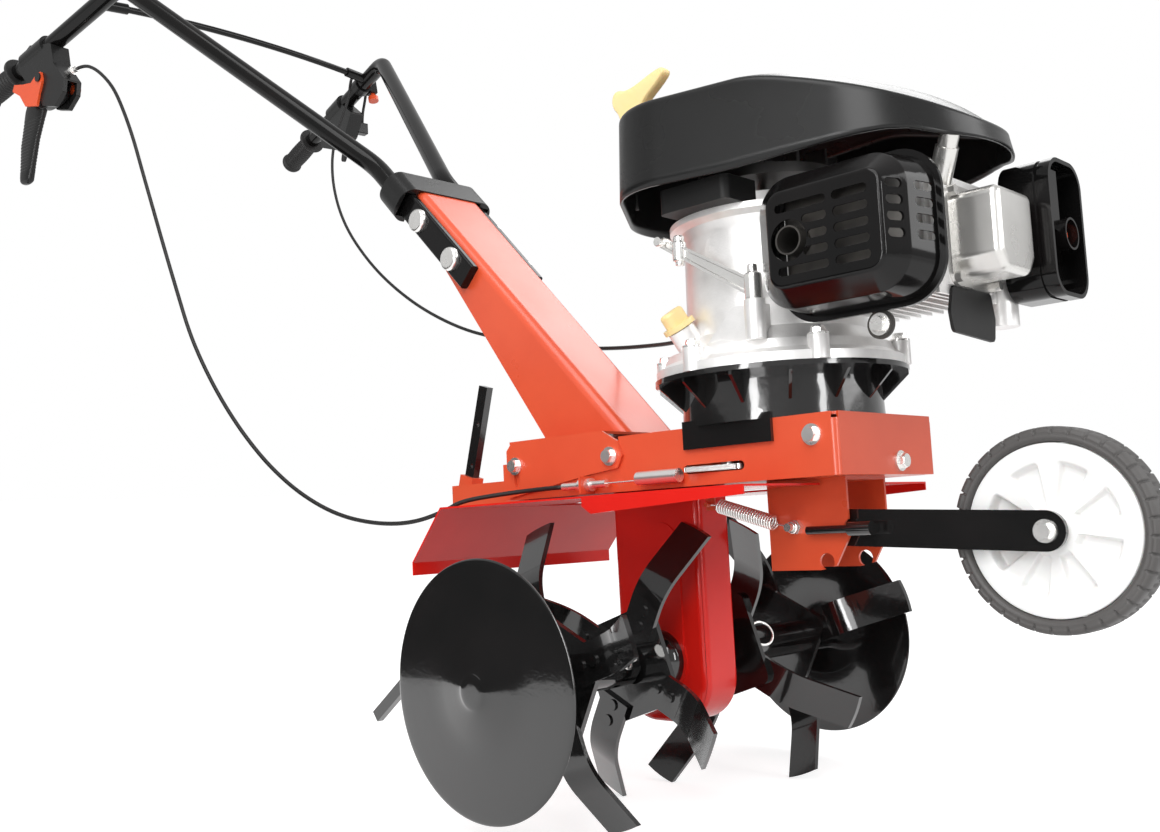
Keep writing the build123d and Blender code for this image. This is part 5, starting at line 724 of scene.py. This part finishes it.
blade = skin("clutch_lever_blade", lever_grid(), round_v=True, cap_u=(True, True))
root = skin("clutch_lever_root", on_control_plane(*moulding(LEVER_ROOT, LEVER_HALF, ROOT_ROUND)), round_v=True,
            cap_u=(True, True))
for piece in (blade, root):
    piece.data.materials.append(satin_black)
    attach(piece, "clutch_lever")
    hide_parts("clutch_lever")
print("lever faces", len(blade.data.polygons))

# %% [markdown]
# ## The governor lever
# The silver lever beside the crankcase is cast: two thick edges with a thinner web between them, a sleeve with a
# clamp on its upright shaft, and a post and a stud near its tip for the spring and the rod. The beam is one section
# that tapers along a straight line, and the round parts are turned profiles.

# %% Governor lever
GOVERNOR_PIVOT, GOVERNOR_TIP = np.array((204.0, -104.0, 361.0)), np.array((98.0, -104.0, 426.0))
POST_SHARE, BEAM_HALF, BEAM_TIP_HALF = 0.81, 8.0, 5.5
BEAM_SECTION = np.array((
    (-2.6, 1, 0), (2.6, 1, 0), (2.6, 1, -2.6), (1.1, 1, -3.4), (1.1, -1, 3.4), (2.6, -1, 2.6),
    (2.6, -1, 0), (-2.6, -1, 0), (-2.6, -1, 2.6), (-1.1, -1, 3.4), (-1.1, 1, -3.4), (-2.6, 1, -2.6)))
SLEEVE = ((0.01, -27), (5, -27), (5, -14), (8.5, -13), (8.5, 13), (6.5, 15), (5, 15.5), (5, 22), (4.2, 23), (0.01, 23))
POST = ((0.01, -15), (4.5, -15), (4.5, -11), (7, -10), (7, 8), (5.5, 9), (5.5, 14), (4.8, 15), (0.01, 15))
STUD = ((0.01, -4), (3, -4), (3, 2.6), (5, 3), (5, 10), (0.01, 10))


def beam_grid():
    """Along the beam (u) and round its section (v): across from the row's first value, up from half height and rim."""
    share = np.linspace(0, 1, 24)[:, None]
    way = (GOVERNOR_TIP - GOVERNOR_PIVOT) / np.linalg.norm(GOVERNOR_TIP - GOVERNOR_PIVOT)
    across = np.array((0.0, 1.0, 0.0))
    upward = np.cross(way, across) * np.sign(np.cross(way, across)[2])
    half = BEAM_HALF + (BEAM_TIP_HALF - BEAM_HALF) * share
    high = BEAM_SECTION[None, :, 1] * half + BEAM_SECTION[None, :, 2]
    middle = GOVERNOR_PIVOT + (GOVERNOR_TIP - GOVERNOR_PIVOT) * share
    return stand(middle[:, None] + high[..., None] * upward + BEAM_SECTION[None, :, :1] * across)


beam = skin("governor_beam", beam_grid(), round_v=True, cap_u=(True, True))
post_at = GOVERNOR_PIVOT + (GOVERNOR_TIP - GOVERNOR_PIVOT) * POST_SHARE
round_parts = [skin(name, stand(turned(rounded(profile, 4, 0.2), at, axis, 32)), round_u=True)
               for name, profile, at, axis in (("governor_sleeve", SLEEVE, GOVERNOR_PIVOT, (0, 0, 1)),
                                               ("governor_post", POST, post_at, (0, 0, 1)),
                                               ("governor_stud", STUD, GOVERNOR_TIP, (0, -1, 0)))]
for piece in [beam] + round_parts:
    piece.data.materials.append(zinc_plate)
    crisp(piece)
    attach(piece, "governor_lever")
    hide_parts("governor_lever")
print("governor pieces", 1 + len(round_parts))

# %% [markdown]
# ## The cables
# Two sheathed cables hang free: the clutch cable in one long bow from the right handle to the frame's side, and the
# throttle cable from the left handle to the engine. A NURBS spline through the route's control points gives a line as
# smooth as a real sheath, and a round section is carried along points read from it. Each cable is one fixed shape,
# though the handlebars tilt.

# %% Cables
CABLE_RADIUS, CABLE_SIDES = 2.5, 16
SPLINE_ORDER, SPLINE_STEPS = 3, 8
CLUTCH_ROUTE = (
    (-906.3, -253.35, 881), (-888.5, -250.9, 881), (-857, -250, 867), (-823, -250, 843), (-791, -250.5, 814),
    (-761, -251.5, 773), (-732, -252.5, 726), (-703, -253.5, 668), (-675, -254, 612), (-645, -253.5, 548),
    (-616, -251, 482), (-593, -247, 424), (-565, -240, 371), (-533, -232, 322), (-497, -223, 277), (-456, -214, 237),
    (-409, -203, 202), (-355, -190, 175), (-299, -176, 162), (-250, -161, 160.5), (-209, -146, 172),
    (-190, -138.5, 182), (-152, -121, 186.5), (-106, -100, 190), (-64.3, -100, 190))
THROTTLE_ROUTE = (
    (-911, 278.3, 908.4), (-910, 278.2, 925), (-902, 277.5, 943), (-892, 275, 960.9), (-888.5, 267.9, 974.6),
    (-882.5, 255.6, 982.5), (-875.5, 241.4, 982.5), (-869.5, 229.1, 974.6), (-866, 222, 960.9), (-868, 218.5, 932),
    (-884, 216, 903), (-903, 214, 873), (-913, 211.5, 840), (-911, 208, 805), (-902, 205, 768), (-885, 203, 726),
    (-857, 201, 682), (-818, 199, 638), (-772, 196, 595.5), (-715, 191, 553.5), (-647, 182, 513), (-579, 172, 480),
    (-512, 160, 453), (-452, 149, 434), (-385, 135.5, 416.5), (-318, 122, 400), (-256, 108.5, 386.5),
    (-195, 95, 374.5), (-131, 80, 365), (-75, 66, 358.5), (-20, 47, 352.5), (30, 20, 349.7), (64.8, 8, 349))


def spline_points(route):
    """Points along the NURBS spline whose control points are the route's."""
    curve = bpy.data.curves.new("route", "CURVE")
    curve.dimensions = "3D"
    spline = curve.splines.new("NURBS")
    spline.points.add(len(route) - 1)
    spline.points.foreach_set("co", np.hstack([stand(route), np.ones((len(route), 1))]).ravel())
    spline.order_u = SPLINE_ORDER
    spline.use_endpoint_u = True
    spline.resolution_u = SPLINE_STEPS
    holder = bpy.data.objects.new("route", curve)
    bpy.context.scene.collection.objects.link(holder)
    bpy.context.view_layer.update()
    line = bpy.data.meshes.new_from_object(holder)
    points = np.empty(len(line.vertices) * 3)
    line.vertices.foreach_get("co", points)
    bpy.data.objects.remove(holder)
    return points.reshape(-1, 3)


for name, route in (("clutch_cable", CLUTCH_ROUTE), ("throttle_cable", THROTTLE_ROUTE)):
    line = spline_points(route)
    tube = carried(line, np.full(len(line), CABLE_RADIUS / 1000), CABLE_SIDES)
    piece = skin(name + "_sheath", tube, round_v=True, cap_u=(True, True))
    piece.data.materials.append(rubber_black)
    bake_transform(piece)
    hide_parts(name)

# %% [markdown]
# ## The studio
# The machine stands on a white sheet under soft light, with a white background and only a faint shadow. A wide soft
# lamp above gives the light, a second one in front fills, a low one lights what lies under the frame, and two more lay
# a sheen on the cover and on the column's top. Three cards, one dark and two bright, are seen only in reflections:
# black gloss needs something dark to mirror, or it turns grey all over, and something bright, or its edges go missing.

# %% Floor, light and background
PAPER_HALF, PAPER_TONE, PAPER_GLOW = 14, 0.55, 0.7
SKY_LIGHT, SKY_SEEN = 0.62, 1.0
CARD_TONE, STRIP_GLOW = 0.01, 12.0
LAMPS = (("key", (0.9, -1.6, 3.2), (0.2, 0, 0.4), 2.2, 52),
         ("fill", (2.8, 1.4, 1.8), (0.2, 0, 0.4), 1.6, 32),
         ("sheen", (1.5, -2.4, 1.9), (0.5, 0, 0.6), 1.3, 34),
         ("low", (0.9, -2.4, 0.5), (0.45, 0, 0.25), 0.8, 10),
         ("column_sheen", (-0.1, 1.7, 2.35), (0.17, 0, 0.56), 1.2, 14))


def floor_material():
    """White paper: diffuse, plus a little of its own light for what sees it directly, so that it stays white."""
    material = bpy.data.materials.new("paper")
    material.use_nodes = True
    tree = material.node_tree
    tree.nodes.remove(tree.nodes["Principled BSDF"])
    paper, glow = tree.nodes.new("ShaderNodeBsdfDiffuse"), tree.nodes.new("ShaderNodeEmission")
    paper.inputs["Color"].default_value = (PAPER_TONE, PAPER_TONE, PAPER_TONE, 1)
    path = tree.nodes.new("ShaderNodeLightPath")
    seen = tree.nodes.new("ShaderNodeMath")
    seen.operation = "MAXIMUM"
    strength = tree.nodes.new("ShaderNodeMath")
    strength.operation = "MULTIPLY"
    strength.inputs[1].default_value = PAPER_GLOW
    both = tree.nodes.new("ShaderNodeAddShader")
    link = tree.links.new
    link(path.outputs["Is Camera Ray"], seen.inputs[0])
    link(path.outputs["Is Glossy Ray"], seen.inputs[1])
    link(seen.outputs[0], strength.inputs[0])
    link(strength.outputs[0], glow.inputs["Strength"])
    link(paper.outputs[0], both.inputs[0])
    link(glow.outputs[0], both.inputs[1])
    link(both.outputs[0], tree.nodes["Material Output"].inputs["Surface"])
    return material


def flat_sheet(name, corners, material):
    """One four-sided sheet for the stage."""
    mesh = bpy.data.meshes.new(name)
    mesh.from_pydata([tuple(c) for c in corners], [], [(0, 1, 2, 3)])
    mesh.materials.append(material)
    sheet = bpy.data.objects.new(name, mesh)
    bpy.context.scene.collection.objects.link(sheet)
    return sheet


def card_material(name, **sockets):
    """A plain material for a card."""
    material = bpy.data.materials.new(name)
    material.use_nodes = True
    set_sockets(material.node_tree.nodes["Principled BSDF"], sockets)
    return material


def upright_card(name, start, end, low, high, material):
    """A card that stands over a line of the floor and is seen only in reflections."""
    card = flat_sheet(name, [(*start, low), (*end, low), (*end, high), (*start, high)], material)
    card.visible_camera = card.visible_diffuse = card.visible_shadow = False


corners = [(-PAPER_HALF, -PAPER_HALF, 0), (PAPER_HALF, -PAPER_HALF, 0), (PAPER_HALF, PAPER_HALF, 0),
           (-PAPER_HALF, PAPER_HALF, 0)]
flat_sheet("paper_floor", corners, floor_material())
card_black = card_material("card_black", Base_Color=(CARD_TONE, CARD_TONE, CARD_TONE, 1))
card_white = card_material("card_white", Emission_Color=(1, 1, 1, 1), Emission_Strength=STRIP_GLOW)
upright_card("dark_card", (-1.28, 0.12), (0.54, -1.98), 0, 0.55, card_black)
upright_card("side_strip", (0.47, -2.6), (0.83, -2.6), 0.4, 1.6, card_white)
upright_card("front_strip", (3.04, -0.65), (3.04, -0.29), 0.4, 1.6, card_white)

world = bpy.data.worlds.new("studio")
bpy.context.scene.world = world
world.use_nodes = True
sky = world.node_tree
light = sky.nodes["Background"]
light.inputs["Color"].default_value = (1, 1, 1, 1)
rays, level = sky.nodes.new("ShaderNodeLightPath"), sky.nodes.new("ShaderNodeMapRange")
level.inputs["To Min"].default_value, level.inputs["To Max"].default_value = SKY_LIGHT, SKY_SEEN
sky.links.new(rays.outputs["Is Camera Ray"], level.inputs["Value"])
sky.links.new(level.outputs["Result"], light.inputs["Strength"])


def soft_lamp(name, at, aim, size, watts):
    """A square area lamp at a point, turned to face another."""
    data = bpy.data.lights.new(name, "AREA")
    data.size = size
    data.energy = watts
    lamp = bpy.data.objects.new(name, data)
    lamp.location = at
    lamp.rotation_euler = (Vector(aim) - Vector(at)).to_track_quat("-Z", "Y").to_euler()
    bpy.context.scene.collection.objects.link(lamp)


for lamp in LAMPS:
    soft_lamp(*lamp)
bpy.context.scene.view_settings.view_transform = "Standard"
print("stage ready")
